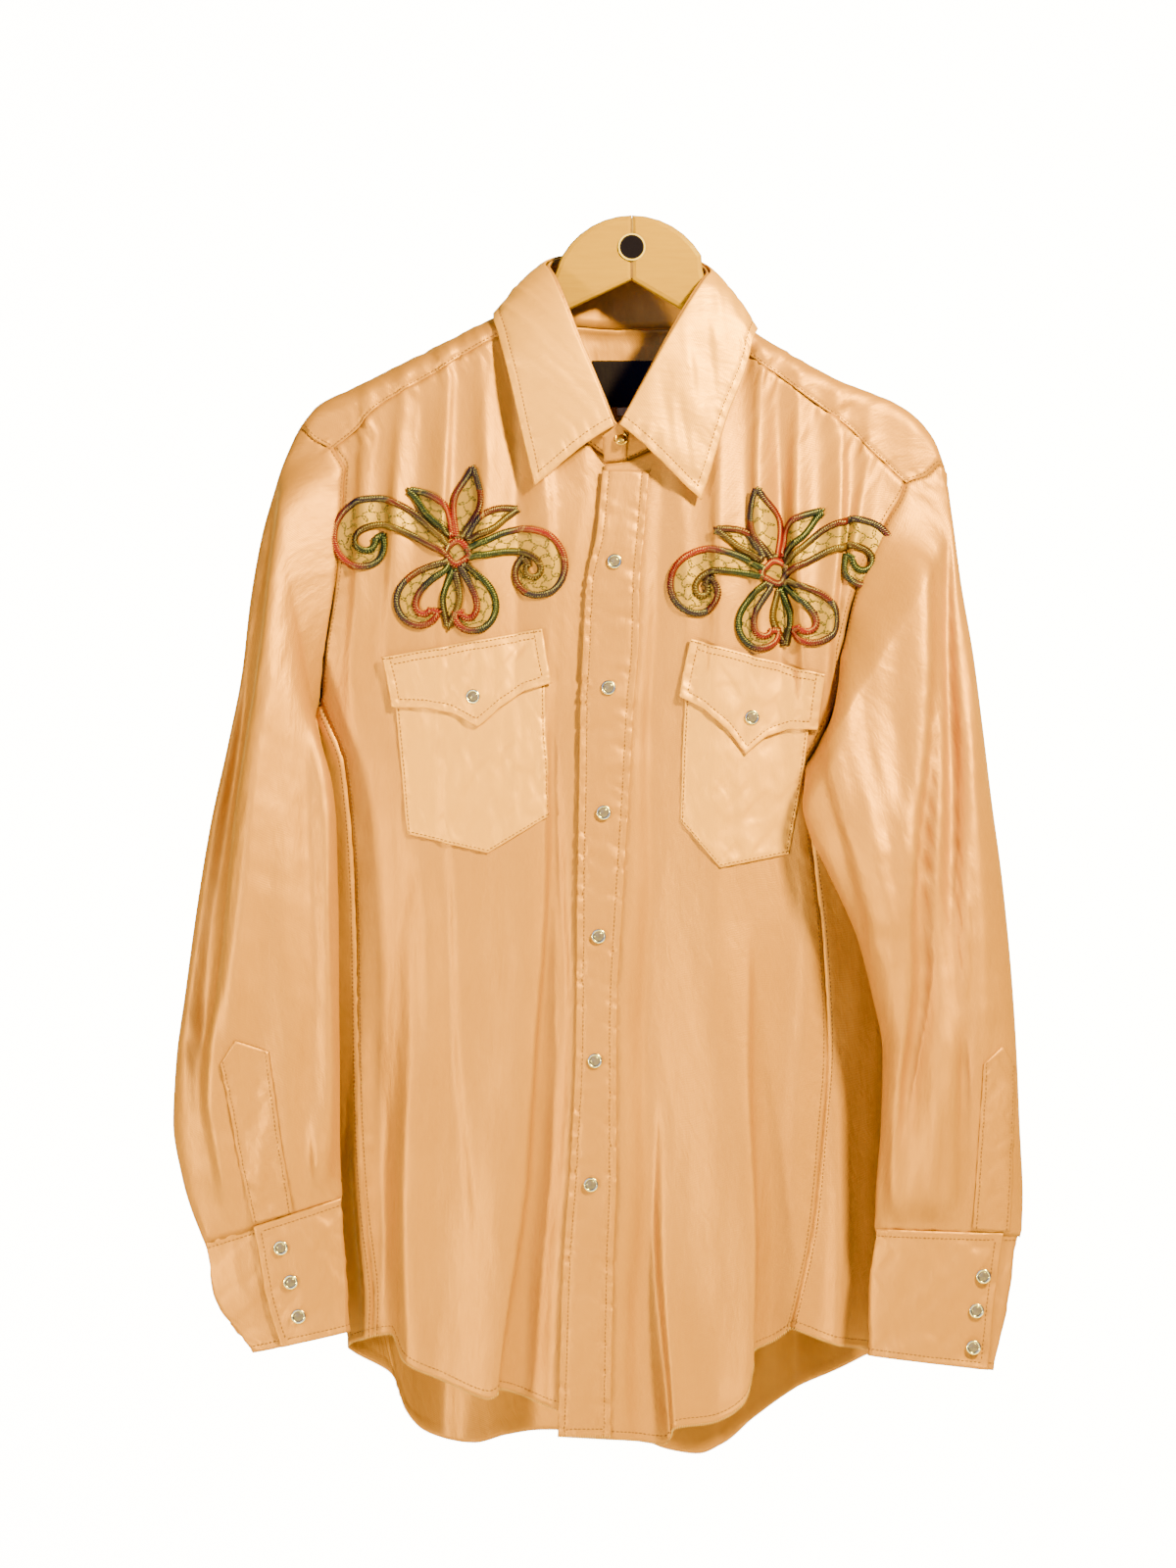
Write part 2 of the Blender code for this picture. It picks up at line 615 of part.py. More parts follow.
def add_back():
    top = yoke_back_seam()[::-1]
    right = np.vstack([torso_path(ARMHOLE_BACK_RIGHT, ARMHOLE_ROWS),
                       torso_path(SIDE_RIGHT, SIDE_ROWS)[1:]])
    left = np.vstack([torso_path(ARMHOLE_BACK_LEFT, ARMHOLE_ROWS),
                      torso_path(SIDE_LEFT, SIDE_ROWS, turns=1)[1:]])
    bottom = torso_path(HEM_BACK, BACK_COLUMNS)
    grid = to_torso(fill_patch(top, bottom, right, left))
    grid = draw_in(grid, top=SEAM, left=SIDE_SEAM, right=SIDE_SEAM)
    add_sheet("back", grid, CLOTH)


def yoke_place(x, z, side=FRONT):
    """x and the signed way over the shoulder, behind it positive."""
    radius = shoulder.back_radius(x) if side == BACK else shoulder.front_radius(x)
    drop = max(shoulder.top(x) - z, 0)
    way = radius * math.acos(1 - min(drop / radius, 1)) + max(drop - radius, 0)
    return (x, way if side == BACK else -way)


def yoke_angle(x, way):
    """Angle and height on the torso."""
    side = BACK if way > 0 else FRONT
    radius = shoulder.back_radius(x) if side == BACK else shoulder.front_radius(x)
    turn = min(abs(way) / radius, math.pi / 2)
    drop = radius * (1 - math.cos(turn)) + max(abs(way) - radius * math.pi / 2, 0)
    z = shoulder.top(x) - drop
    return torso_angle(x, z, side), z


def yoke_end(rows):
    front = stations([yoke_place(*row) for row in rows[:3]], YOKE_FRONT_ROWS)
    back_rows = [rows[2][:2] + (BACK,)] + rows[3:]
    back = stations([yoke_place(*row) for row in back_rows], YOKE_BACK_ROWS)
    return np.vstack([front, back[1:]])


def add_yoke():
    def on_seam(row, side):
        return yoke_place(torso_point(*row).x, row[1], side)

    seams = [[on_seam(row, FRONT) for row in torso_path(seam, YOKE_COLUMNS)]
             for seam in (YOKE_SEAM_LEFT, YOKE_SEAM_RIGHT)]
    neck = [yoke_place(*row) for row in NECK_BACK]
    front_edge = np.asarray(seams[0] + neck[1:-1] + seams[1])
    back_edge = np.asarray([on_seam(row, BACK) for row in yoke_back_seam()])
    ends = [yoke_end(YOKE_END_LEFT), yoke_end(YOKE_END_RIGHT)]
    grid = fill_patch(front_edge, back_edge, *ends, down=YOKE_ROWS)
    grid = to_torso([[yoke_angle(*place) for place in reversed(row)] for row in grid])
    grid = draw_in(grid, top=TURNED_SEAM, bottom=SEAM, left=SEAM, right=SEAM)
    add_sheet("yoke", grid, CLOTH)


# Neck

def collar_rows():
    """The collar's table, as close together as the stations of the neckline."""
    left, right = COLLAR_SIDES
    last = len(COLLAR) - 1
    places = np.concatenate([
        np.linspace(0, left, NECKLINE_ROWS + 1),
        np.linspace(left, right, len(NECK_BACK))[1:-1],
        np.linspace(right, last, NECKLINE_ROWS + 1)])
    curves = [smooth_curve(range(len(COLLAR)), column) for column in zip(*COLLAR)]
    return [[curve(place) for curve in curves] for place in places]


def collar_column(row, count):
    fold, edge = Vector(row[:3]), Vector(row[3:])
    out = Vector((fold.x + 3, fold.y, 0)).normalized()
    points = []
    for t in np.linspace(0, 1, count + 1):
        bulge = COLLAR_BULGE * math.sin(math.pi * t) ** 0.8
        points.append(fold.lerp(edge, t) + (out * 0.6 + Vector((0, 0, 0.8 - 0.8 * t))) * bulge)
    return points


def add_collar():
    columns = [collar_column(row, 4) for row in reversed(collar_rows())]
    add_sheet("collar", [list(row) for row in zip(*columns)], BAND)


def neckline():
    """Stations of the neckline, from the left tab round the back to the right tab."""
    left = [torso_point(*place) for place in torso_path(NECKLINE_LEFT, NECKLINE_ROWS)]
    back = [torso_point(torso_angle(*row), row[1]) for row in NECK_BACK]
    right = [torso_point(*place) for place in torso_path(NECKLINE_RIGHT, NECKLINE_ROWS)]
    return [under_placket(point) for point in left[::-1]] + back[1:-1] + right[::-1]


def add_collar_stand():
    top = []
    for row in collar_rows():
        fold = Vector(row[:3])
        inwards = -Vector((fold.x + 3, fold.y, 0)).normalized()
        top.append(fold + inwards * STAND_INSET - Vector((0, 0, STAND_DROP)))
    top[0], top[-1] = Vector(STAND_TAB_LEFT), Vector(STAND_TAB_RIGHT)
    foot = [low + (high - low).normalized() * STAND_LIFT for low, high in zip(neckline(), top)]
    middle = [low.lerp(high, 0.5) for low, high in zip(foot, top)]
    add_sheet("collar_stand", [row[::-1] for row in (top, middle, foot)], BAND)
    outwards = (middle[-2] - middle[-1]).cross(top[-2] - foot[-2])
    add_snap("snap_collar", middle[-2].lerp(middle[-1], 0.4) + outwards.normalized() * TAB_LIFT,
             outwards, "snap_metal")


def add_label(name, box, lift, material, count):
    """Flat piece on the inner face of the back."""
    left, right, top, bottom = box
    grid = []
    for z in np.linspace(top, bottom, 3):
        row = []
        for x in np.linspace(right, left, count + 1):
            point = torso_point(torso_angle(x, z, BACK), z)
            row.append(point + Vector((0, -lift, 0)))
        grid.append(row)
    add_sheet(name, grid, LABEL_THICKNESS, material)


# Sleeves

def armhole_loop(end, front, back):
    """Closed armhole in 3-D: shoulder tip, front, underarm, back."""
    tip = [yoke_angle(*place) for place in yoke_end(end)]
    front = list(torso_path(front, ARMHOLE_ROWS))
    back = list(torso_path(back, ARMHOLE_ROWS))
    places = (tip[YOKE_FRONT_ROWS:0:-1] + front + back[-2:0:-1] + tip[:YOKE_FRONT_ROWS:-1])
    loop = []
    for place in places:
        point = lifted_point(*place, SLEEVE_LIFT)
        behind = smooth_step(point.y / SLEEVE_BACK_EASE)
        loop.append(point + Vector((math.copysign(SLEEVE_LIFT * behind, point.x), 0, 0)))
    return loop


def across_angle(across):
    """Angle in front whose point lies this far from the inner to the outer side."""
    return math.acos(signed_power(min(max(2 * across - 1, -1), 1), 1 / SLEEVE_FULLNESS))


def loop_angles(loop):
    """Angle of each armhole station: 0 at the tip, pi at the underarm."""
    under = YOKE_FRONT_ROWS + ARMHOLE_ROWS
    closed = loop + loop[:1]
    lengths = np.concatenate([[0], np.cumsum([(b - a).length
                                              for a, b in zip(closed, closed[1:])])])
    half, whole = lengths[under], lengths[-1]
    return [math.pi * s / half if i <= under
            else 2 * math.pi - across_angle(((s - half) / (whole - half)) ** SLEEVE_BACK_SPREAD)
            for i, s in enumerate(lengths[:-1])]


class Sleeve:
    """Tube of rings below an armhole, worked out from a table of sections."""

    def __init__(self, table, folds):
        self.curves = [smooth_curve(range(len(table)), column) for column in zip(*table)]
        self.folds = folds
        self.last = len(table) - 1

    def point(self, angle, ring):
        row = dict(zip(SLEEVE_COLUMNS, (curve(ring) for curve in self.curves)))
        outer = Vector((row["outer_x"], row["outer_y"], row["outer_z"]))
        inner = Vector((row["inner_x"], row["inner_y"], row["inner_z"]))
        across = (1 + signed_power(math.cos(angle), SLEEVE_FULLNESS)) / 2
        point = inner.lerp(outer, across)
        swell = abs(math.sin(angle)) ** SLEEVE_FULLNESS
        if math.sin(angle) > 0:
            cuff_fade = smooth_step((self.last - ring) / 1.2)
            fold = fold_height(self.folds, point.x, point.z) * cuff_fade
            point.y -= row["front"] * swell + fold * min(1, 1.5 * swell)
        else:
            point.y += row["back"] * swell * (0.4 + 0.6 * across)
        return point

    def normal(self, angle, ring):
        step = 0.02
        along = self.point(angle, ring + step) - self.point(angle, ring - step)
        round_ = self.point(angle + step, ring) - self.point(angle - step, ring)
        normal = round_.cross(along).normalized()
        return normal if normal.y < 0 else -normal

    def find(self, x, z):
        """Angle and ring of the front point at x and z."""
        high, low = 0, self.last
        for _ in range(30):
            ring = (high + low) / 2
            inner, outer = self.curves[3](ring), self.curves[0](ring)
            angle = across_angle((x - inner) / (outer - inner))
            if self.point(angle, ring).z > z:
                high = ring
            else:
                low = ring
        return angle, ring


def add_sleeve(name, sleeve, loop, right, hang=0):
    """Behind the arm the cloth hangs straight from the armhole down to the ring hang."""
    angles = loop_angles(loop)
    grid = [loop]
    for ring in range(sleeve.last + 1):
        row = [sleeve.point(angle, ring) for angle in angles]
        if ring < hang:
            for i, angle in enumerate(angles):
                line = loop[i].lerp(sleeve.point(angle, hang), (ring + 1) / (hang + 1))
                row[i] = row[i].lerp(line, smooth_step(-2 * math.sin(angle)))
        grid.append(row)
    grid = draw_in(grid, top=SIDE_SEAM, bottom=SEAM)
    if right:
        grid = [row[::-1] for row in grid]
    add_sheet(name, grid, CLOTH, closed=True)


def add_sleeve_placket(name, sleeve, outline):
    """Band on the sleeve with a pointed top."""
    rows = [outline["upper"], outline["middle"], outline["foot"]]
    lefts = polyline([row[0] for row in rows], 5)
    rights = polyline([row[1] for row in rows], 5)
    tip = np.asarray(outline["tip"])
    across = 4
    places = []
    for i, (left, right) in enumerate(zip(lefts, rights)):
        row = [left + (right - left) * t for t in np.linspace(0, 1, across + 1)]
        if i == 0:
            peak = tip - (left + right) / 2
            row = [point + peak * (1 - abs(2 * j / across - 1)) for j, point in enumerate(row)]
        places.append(row)
    grid = []
    for row in places:
        found = [sleeve.find(x, z) for x, z in row]
        grid.append([sleeve.point(*place) + sleeve.normal(*place) * (LAY + CLOTH)
                     for place in found])
    add_sheet(name, grid, CLOTH)


class Cuff:
    """Band round the wrist whose end laps over its start on the front."""

    def __init__(self, table):
        self.curves = [smooth_curve(range(len(table)), column) for column in zip(*table)]
        self.last = len(table) - 1

    def point(self, turn, level):
        """turn runs from the lap's end over the inner side round to under the lap."""
        row = dict(zip(CUFF_COLUMNS, (curve(level) for curve in self.curves)))
        outer = Vector((row["outer_x"], row["outer_y"], row["outer_z"]))
        inner = Vector((row["inner_x"], row["inner_y"], row["inner_z"]))
        start = across_angle(row["lap_end"])
        angle = start + turn * (2 * math.pi + CUFF_LAP)
        inset = CUFF_LAP_GAP * turn
        shrink = 1 - 2 * inset / (outer - inner).length
        along = signed_power(math.cos(angle), SLEEVE_FULLNESS) * shrink
        point = inner.lerp(outer, (1 + along) / 2)
        point.y -= (CUFF_DEPTH - inset) * signed_power(math.sin(angle), SLEEVE_FULLNESS)
        return point

    def find(self, x, z):
        """Point of the lap at x and z."""
        high, low = 0, self.last
        for _ in range(30):
            level = (high + low) / 2
            inner, outer, lap_end = (self.curves[i](level) for i in (3, 0, 6))
            angle = across_angle((x - inner) / (outer - inner))
            turn = (angle - across_angle(lap_end)) / (2 * math.pi + CUFF_LAP)
            point = self.point(turn, level)
            if point.z > z:
                high = level
            else:
                low = level
        return point


def add_cuff(name, cuff, right):
    columns, levels = 24, 4
    grid = [[cuff.point(turn, level) for turn in np.linspace(0, 1, columns + 1)]
            for level in np.linspace(0, cuff.last, levels + 1)]
    if right:
        grid = [row[::-1] for row in grid]
    add_sheet(name, grid, BAND)


# Pieces on the fronts

def add_placket():
    heights = np.linspace(PLACKET[0][0], PLACKET[-1][0], CENTRE_ROWS + 1)
    grid = []
    for z in heights:
        grid.append([front_point(x, z, PLACKET_LIFT)
                     for x in np.linspace(placket.left(z), placket.right(z), 4)])
    add_sheet("front_placket", grid, BAND)


def add_patch(name, outline, across, down, lift, thickness):
    edges = [polyline(outline[edge], count) for edge, count in
             (("top", across), ("bottom", across), ("left", down), ("right", down))]
    grid = fill_patch(*edges)
    add_sheet(name, [[front_point(x, z, lift) for x, z in row] for row in grid], thickness)


# Snaps

def add_snap(name, place, direction, material="pearl"):
    bm = bmesh.new()
    bmesh.ops.create_cone(bm, cap_ends=True, segments=12, radius1=SNAP_RADIUS * MM,
                          radius2=SNAP_CROWN * MM, depth=SNAP_HEIGHT * MM)
    snap = add_object(name, bm, material)
    direction = Vector(direction).normalized()
    snap.rotation_mode = "QUATERNION"
    snap.rotation_quaternion = Vector((0, 0, 1)).rotation_difference(direction)
    snap.location = (Vector(place) + direction * (SNAP_GAP + SNAP_HEIGHT / 2)) * MM


def add_front_snaps():
    for number, (x, z) in enumerate(FRONT_SNAPS, 1):
        angle = torso_angle(x, z)
        add_snap(f"snap_front_{number}", lifted_point(angle, z, PLACKET_LIFT),
                 torso_normal(angle, z))
    for side, (x, z) in POCKET_SNAPS.items():
        angle = torso_angle(x, z)
        add_snap(f"snap_pocket_{side}", lifted_point(angle, z, FLAP_LIFT),
                 torso_normal(angle, z))


# Hanger

def hanger_outline(side):
    """Half of the hanger from the hub's top down the arm and back, as x and z."""
    sign = -1 if side == "left" else 1
    points = [(HUB_RADIUS * math.sin(a), HUB_RADIUS * (math.cos(a) - 1))
              for a in np.linspace(0, HUB_END_ANGLE, 7)]
    points += [(x, -z) for x, z in ARM_NECK[side]]
    end = ARM_END[side]
    for x in np.linspace(ARM_START[side], end, 9):
        points.append((x, shoulder.top(sign * x) - CLOTH - HANGER_CLEARANCE))
    tip = points[-1][1]
    points.append((end + 5, tip - ARM_TIP_HEIGHT * 0.45))
    points.append((end + 2, tip - ARM_TIP_HEIGHT))
    for x in np.linspace(end - 10, 30, 6):
        points.append((x, -HUB_UNDERSIDE - ARM_UNDERSIDE_SLOPE[side] * x))
    points.append((0, -HUB_UNDERSIDE))
    return [(sign * max(x, SEAM / 2), z) for x, z in points]


def inset_outline(outline, inset):
    """The outline moved inwards; it runs so that its inside lies to the right."""
    points = [np.asarray(point) for point in outline]
    moved = []
    for before, point, after in zip(points[-1:] + points[:-1], points, points[1:] + points[:1]):
        ahead, behind = after - point, point - before
        along = ahead / np.linalg.norm(ahead) + behind / np.linalg.norm(behind)
        along /= np.linalg.norm(along)
        moved.append(point + np.array([along[1], -along[0]]) * inset)
    return moved


def add_hanger(side):
    outline = hanger_outline(side)
    if side == "left":
        outline.reverse()
    flat, edge = HANGER_THICKNESS / 2, HANGER_EDGE
    profile = [(flat - edge * (1 - math.sin(a)), edge * (1 - math.cos(a)))
               for a in np.linspace(0, math.pi / 2, 3)]
    rings = ([(-y, inset) for y, inset in reversed(profile)] + profile)
    bm = bmesh.new()
    loops = [[bm.verts.new((x * MM, y * MM, z * MM)) for x, z in inset_outline(outline, inset)]
             for y, inset in rings]
    for near, far in zip(loops, loops[1:]):
        for i in range(len(near)):
            bm.faces.new((near[i - 1], near[i], far[i], far[i - 1]))
    bm.faces.new(loops[0])
    bm.faces.new(loops[-1][::-1])
    bmesh.ops.triangulate(bm, faces=[face for face in bm.faces if len(face.verts) > 4])
    bmesh.ops.recalc_face_normals(bm, faces=bm.faces)
    add_object(f"hanger_{side}", bm, "hanger_wood")


def add_disc():
    bm = bmesh.new()
    bmesh.ops.create_cone(bm, cap_ends=True, segments=28, radius1=DISC_RADIUS * MM,
                          radius2=DISC_RADIUS * MM, depth=DISC_THICKNESS * MM)
    disc = add_object("hanger_disc", bm, "disc")
    disc.rotation_euler.x = math.pi / 2
    x, z = DISC_CENTRE
    disc.location = (x * MM, -(HANGER_THICKNESS / 2 + SEAM + DISC_THICKNESS / 2) * MM, z * MM)


for old in list(bpy.data.objects):
    bpy.data.objects.remove(old, do_unlink=True)
collection = bpy.data.collections.new("western_shirt")
bpy.context.scene.collection.children.link(collection)
materials = {name: make_material(name) for name in COLOURS}

add_front_left()
add_front_right()
add_back()
add_yoke()
add_placket()
add_collar()
add_collar_stand()
add_label("neck_label", NECK_LABEL, LABEL_LIFT, "label_cloth", 5)
add_label("size_tag", SIZE_TAG, LABEL_LIFT, "tag_cloth", 1)

left_sleeve = Sleeve(SLEEVE_LEFT, SLEEVE_LEFT_FOLDS)
right_sleeve = Sleeve(SLEEVE_RIGHT, SLEEVE_RIGHT_FOLDS)
left_loop = armhole_loop(YOKE_END_LEFT, ARMHOLE_LEFT, ARMHOLE_BACK_LEFT)
right_loop = armhole_loop(YOKE_END_RIGHT, ARMHOLE_RIGHT, ARMHOLE_BACK_RIGHT)
add_sleeve("sleeve_left", left_sleeve, left_loop, right=False)
add_sleeve("sleeve_right", right_sleeve, right_loop, right=True, hang=SLEEVE_HANG)
add_sleeve_placket("sleeve_placket_left", left_sleeve, SLEEVE_PLACKET_LEFT)
add_sleeve_placket("sleeve_placket_right", right_sleeve, SLEEVE_PLACKET_RIGHT)

for side, table in (("left", CUFF_LEFT), ("right", CUFF_RIGHT)):
    cuff = Cuff(table)
    add_cuff(f"cuff_{side}", cuff, side == "right")
    for number, (x, z) in enumerate(CUFF_SNAPS[side], 1):
        add_snap(f"snap_cuff_{side}_{number}", cuff.find(x, z), (0, -1, 0))

add_patch("pocket_left", POCKET_LEFT, 10, 6, POCKET_LIFT, CLOTH)
add_patch("pocket_right", POCKET_RIGHT, 8, 6, POCKET_LIFT, CLOTH)
add_patch("pocket_flap_left", FLAP_LEFT, 10, 4, FLAP_LIFT, BAND)
add_patch("pocket_flap_right", FLAP_RIGHT, 10, 4, FLAP_LIFT, BAND)
add_front_snaps()
add_hanger("left")
add_hanger("right")
add_disc()
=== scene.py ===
"""Western snap shirt on a flat wooden hanger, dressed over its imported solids.

The shirt hangs in the X-Z plane and faces -Y, with +Z up. Left and right are the viewer's.
Tables are in millimetres, and MM turns them into metres where a mesh is made.
"""
import math
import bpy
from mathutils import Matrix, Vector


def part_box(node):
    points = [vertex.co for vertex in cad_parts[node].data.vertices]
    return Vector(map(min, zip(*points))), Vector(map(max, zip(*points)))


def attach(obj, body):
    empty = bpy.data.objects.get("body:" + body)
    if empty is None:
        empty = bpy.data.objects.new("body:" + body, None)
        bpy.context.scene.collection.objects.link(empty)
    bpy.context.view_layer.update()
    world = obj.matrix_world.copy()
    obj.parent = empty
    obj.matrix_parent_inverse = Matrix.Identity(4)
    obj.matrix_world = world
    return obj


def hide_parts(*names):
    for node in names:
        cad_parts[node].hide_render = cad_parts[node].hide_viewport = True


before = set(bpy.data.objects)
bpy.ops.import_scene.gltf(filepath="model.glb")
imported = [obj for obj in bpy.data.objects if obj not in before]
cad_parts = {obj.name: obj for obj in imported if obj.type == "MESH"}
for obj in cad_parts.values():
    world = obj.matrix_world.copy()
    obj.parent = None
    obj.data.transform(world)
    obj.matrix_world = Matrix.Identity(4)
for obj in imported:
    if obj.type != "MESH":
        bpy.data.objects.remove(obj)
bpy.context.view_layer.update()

from types import SimpleNamespace

import bmesh
import bpy
import numpy as np
from mathutils import Vector

# Back panel. One piece of light satin-faced cloth from the yoke to a tailed hem, hanging in
# deep soft folds. The tables that give the whole body its form come first, and then the
# cloth itself: a thin sheet with a fine twill, faint crinkles and the dull shine of satin.

MM = 0.001
FRONT, BACK = 0, 1
CLOTH = 1.0           # the cloth's thickness as it is built
UNDER_SEAM = -3.0     # how far one sewn edge runs on under the other, as a negative gap
SEAM_DIP, SEAM_DIP_WIDTH = 1.3, 2.4
PUCKER_WIDTH, PUCKER_LENGTH = 4.6, 40
STITCH_DIP, STITCH_DIP_WIDTH = 0.45, 1.2
STITCH_PUCKER_WIDTH, STITCH_PUCKER_LENGTH = 3.4, 25
HEM_INSET, SIDE_INSET = 6, 4     # rows of stitches inside the hems and the side edges
FINE, ARMHOLE_FINE, SIDE_FINE = 5, 10, 11     # points to one step of a seam

TORSO = [
    (-50, -238, 224, 18, 20, 4.0),
    (-150, -238, 224, 22, 26, 4.0),
    (-166, -248, 224, 24, 28, 3.9),
    (-182, -253, 225, 25, 29, 3.8),
    (-208, -258, 236, 27, 30, 3.6),
    (-258, -262, 234, 30, 32, 3.1),
    (-291, -254, 226, 31, 32, 2.8),
    (-326, -236, 208, 32, 32, 2.6),
    (-345, -228, 196, 33, 32, 2.5),
    (-365, -226.5, 187, 33, 32, 2.5),
    (-389, -224, 182, 34, 32, 2.5),
    (-459, -219, 181, 34, 32, 2.5),
    (-600, -214, 180, 35, 34, 2.5),
    (-700, -209, 177.5, 37, 36, 2.5),
    (-805, -201, 172, 38, 38, 2.5),
    (-885, -190, 168, 38, 38, 2.5),
]
TORSO_COLUMNS = ("height", "left", "right", "front", "back", "fullness")
CHEST_REACH = 150     # the way down from the shoulders in which the body gets its full depth
BODY_UNEVENNESS = [(1.6, 34, 110, 3), (0.5, 10, 40, 4)]
SHOULDER = [
    (-240, -158, 12, 12),
    (-237, -153, 12, 12),
    (-222, -134.5, 13, 13),
    (-200, -123.5, 13, 13),
    (-150, -98.5, 13, 13),
    (-98.7, -73, 13, 13),
    (-83, -66.5, 13.5, 14.5),
    (-60, -60, 15, 24),
    (0, -56, 18, 34),
    (55, -62, 15, 24),
    (72, -73, 13.5, 14.5),
    (87, -82.8, 13, 13),
    (145, -116, 13, 13),
    (194, -137.3, 13, 13),
    (214.6, -159.4, 12, 12),
    (222.2, -179.4, 12, 12),
]
SHOULDER_COLUMNS = ("x", "top", "front_radius", "back_radius")
PLACKET = [
    (-182, -21, 12),
    (-226, -25, 8.3),
    (-262, -32.4, 5.5),
    (-303, -34.5, 4.8),
    (-349, -36.6, 1),
    (-406, -37.3, -2),
    (-472, -38.6, -6),
    (-579, -39.5, -11),
    (-680, -44.2, -11),
    (-737, -48.5, -13),
    (-862, -52.4, -15.2),
]
PLACKET_COLUMNS = ("height", "left", "right")
PLACKET_CLEARANCE, PLACKET_REACH = 2, 10

# Folds as ridges from top to bottom: x and z at three heights, the rises there, and how wide
# each flank is. A narrow flank makes a crisp edge that leans over its own foot.
FOLD_FADE = 60
SHARP_FLANK = 7
SHARP_POWER, SOFT_POWER = 2, 1.7
FOLD_LEAN = 0.3
FOLD_WANDER, WANDER_LENGTH = 1.3, 33
FOLD_RISE = 1.5
FRONT_FOLDS = [
    # left front: the long roll, its crisp right edge, and the recess beside the placket
    (-150, -440, -158, -644, -160, -870, 0, 7, 10, 8, 30),
    (-59, -350, -71, -590, -104, -870, 1, 9, 13, 36, 3.0),
    (-55, -350, -61, -590, -82, -870, -1, -5, -9, 15, 17),
    (-56.6, -377, -45.5, -600, -52, -806, -1.5, -3, -4, 3.6, 5),
    (-178, -420, -178, -600, -178, -850, 0, -3, -4, 14, 9),
    (-154, -430, -146, -500, -140, -600, 1, 2.5, 1, 8, 12),
    (-128, -400, -124, -500, -112, -700, 1, 2, 1.5, 5, 14),
    (-195, -540, -190, -680, -184, -850, 1, 5, 7, 5, 9),
    # right front: the shaded plane beside the placket, the bright pillar and its crisp edge
    (16, -230, 12, -500, 4, -870, -2, -5, -5, 8, 24),
    (20, -620, 23, -740, 33, -868, 0, 5, 9, 3.4, 20),
    (16, -620, 19, -740, 29, -868, 0, -2, -4, 10, 3.6),
    (60, -380, 58, -560, 56, -760, 2, 4, 4, 24, 28),
    (80, -500, 81.4, -680, 80.7, -870, 0, 8, 13, 22, 3.0),
    (92, -500, 98, -680, 100, -870, 0, -5, -8, 12, 30),
    (118, -400, 122, -520, 114, -700, 1, 2.5, 1.5, 8, 12),
    (150, -560, 146, -700, 143, -850, 0, 4, 6, 9, 8),
    # chest: soft folds that fan out from the gathers of the yoke
    (-186, -150, -192, -230, -196, -330, 2, 3, 2, 5, 10),
    (-160, -140, -165, -210, -172, -300, 2, 4, 2, 6, 8),
    (-133, -125, -134, -190, -138, -300, 2.5, 4, 2, 9, 5),
    (-106, -110, -104, -190, -108, -300, 2.5, 4, 2, 7, 9),
    (-84, -100, -80, -190, -82, -310, -1, -3, -2, 7, 7),
    (-66, -150, -62, -200, -60, -270, 1, 3.5, 1, 8, 5),
    (34, -190, 36, -260, 40, -330, 1, 3, 1, 10, 8),
    (66, -150, 62, -220, 60, -310, 1.5, 4, 2.5, 6, 10),
    (92, -120, 92, -190, 90, -300, 3, 5, 3, 6, 8),
    (104, -130, 106, -200, 105, -300, -1, -3, -2, 5, 6),
    (118, -140, 119, -210, 122, -330, 2.5, 5, 3.5, 6, 8),
    (146, -160, 143, -220, 136, -330, 2.5, 5, 4, 8, 5),
    (168, -180, 160, -230, 148, -290, 2, 4, 2, 5, 7),
]
BACK_FOLDS = [
    (-120, -260, -128, -560, -135, -870, 3, 7, 9, 22, 14),
    (-62, -260, -66, -560, -72, -880, 2, 6, 8, 16, 22),
    (-5, -270, -4, -560, -2, -880, 5, 8, 9, 20, 20),
    (55, -260, 58, -560, 62, -885, 2, 6, 8, 22, 15),
    (112, -260, 116, -560, 120, -850, 3, 7, 9, 14, 22),
]


def smooth_run(t, near, leaving, far, arriving):
    """From near to far as t goes from 0 to 1, with the slopes at both ends given."""
    return ((1 + 2 * t) * (1 - t) ** 2 * near + t * (1 - t) ** 2 * leaving
            + t * t * (3 - 2 * t) * far - t * t * (1 - t) * arriving)


def curve(keys, values):
    """Smooth curve that never overshoots its points."""
    keys, values = np.asarray(keys, float), np.asarray(values, float)
    steps = np.diff(keys)
    slopes = np.diff(values) / steps
    tangents = np.zeros(len(keys))
    tangents[0], tangents[-1] = slopes[0], slopes[-1]
    for i in range(1, len(keys) - 1):
        if slopes[i - 1] * slopes[i] > 0:
            near, far = steps[i - 1], steps[i]
            weights = (2 * far + near, far + 2 * near)
            tangents[i] = sum(weights) / (weights[0] / slopes[i - 1] + weights[1] / slopes[i])

    def at(key):
        key = np.clip(np.asarray(key, float), keys[0], keys[-1])
        i = np.clip(np.searchsorted(keys, key) - 1, 0, len(steps) - 1)
        return smooth_run((key - keys[i]) / steps[i], values[i], steps[i] * tangents[i],
                          values[i + 1], steps[i] * tangents[i + 1])

    return at


def table_curves(table, names):
    """One smooth curve for each column after the first, against the first."""
    rows = sorted(table)
    keys = [row[0] for row in rows]
    return SimpleNamespace(**{name: curve(keys, [row[i] for row in rows])
                              for i, name in enumerate(names) if i})


def index_curves(table):
    """One smooth curve for each column, against the row's number."""
    return [curve(range(len(table)), column) for column in zip(*table)]


def smooth_step(value):
    value = np.clip(value, 0, 1)
    return value * value * (3 - 2 * value)


def signed_power(value, power):
    return np.sign(value) * np.abs(value) ** power


def unit(vectors):
    return vectors / np.maximum(np.linalg.norm(vectors, axis=-1, keepdims=True), 1e-9)


def points(x, y, z):
    return np.stack(np.broadcast_arrays(x, y, z), axis=-1).astype(float)


LATTICE, LATTICE_START = 61, 500


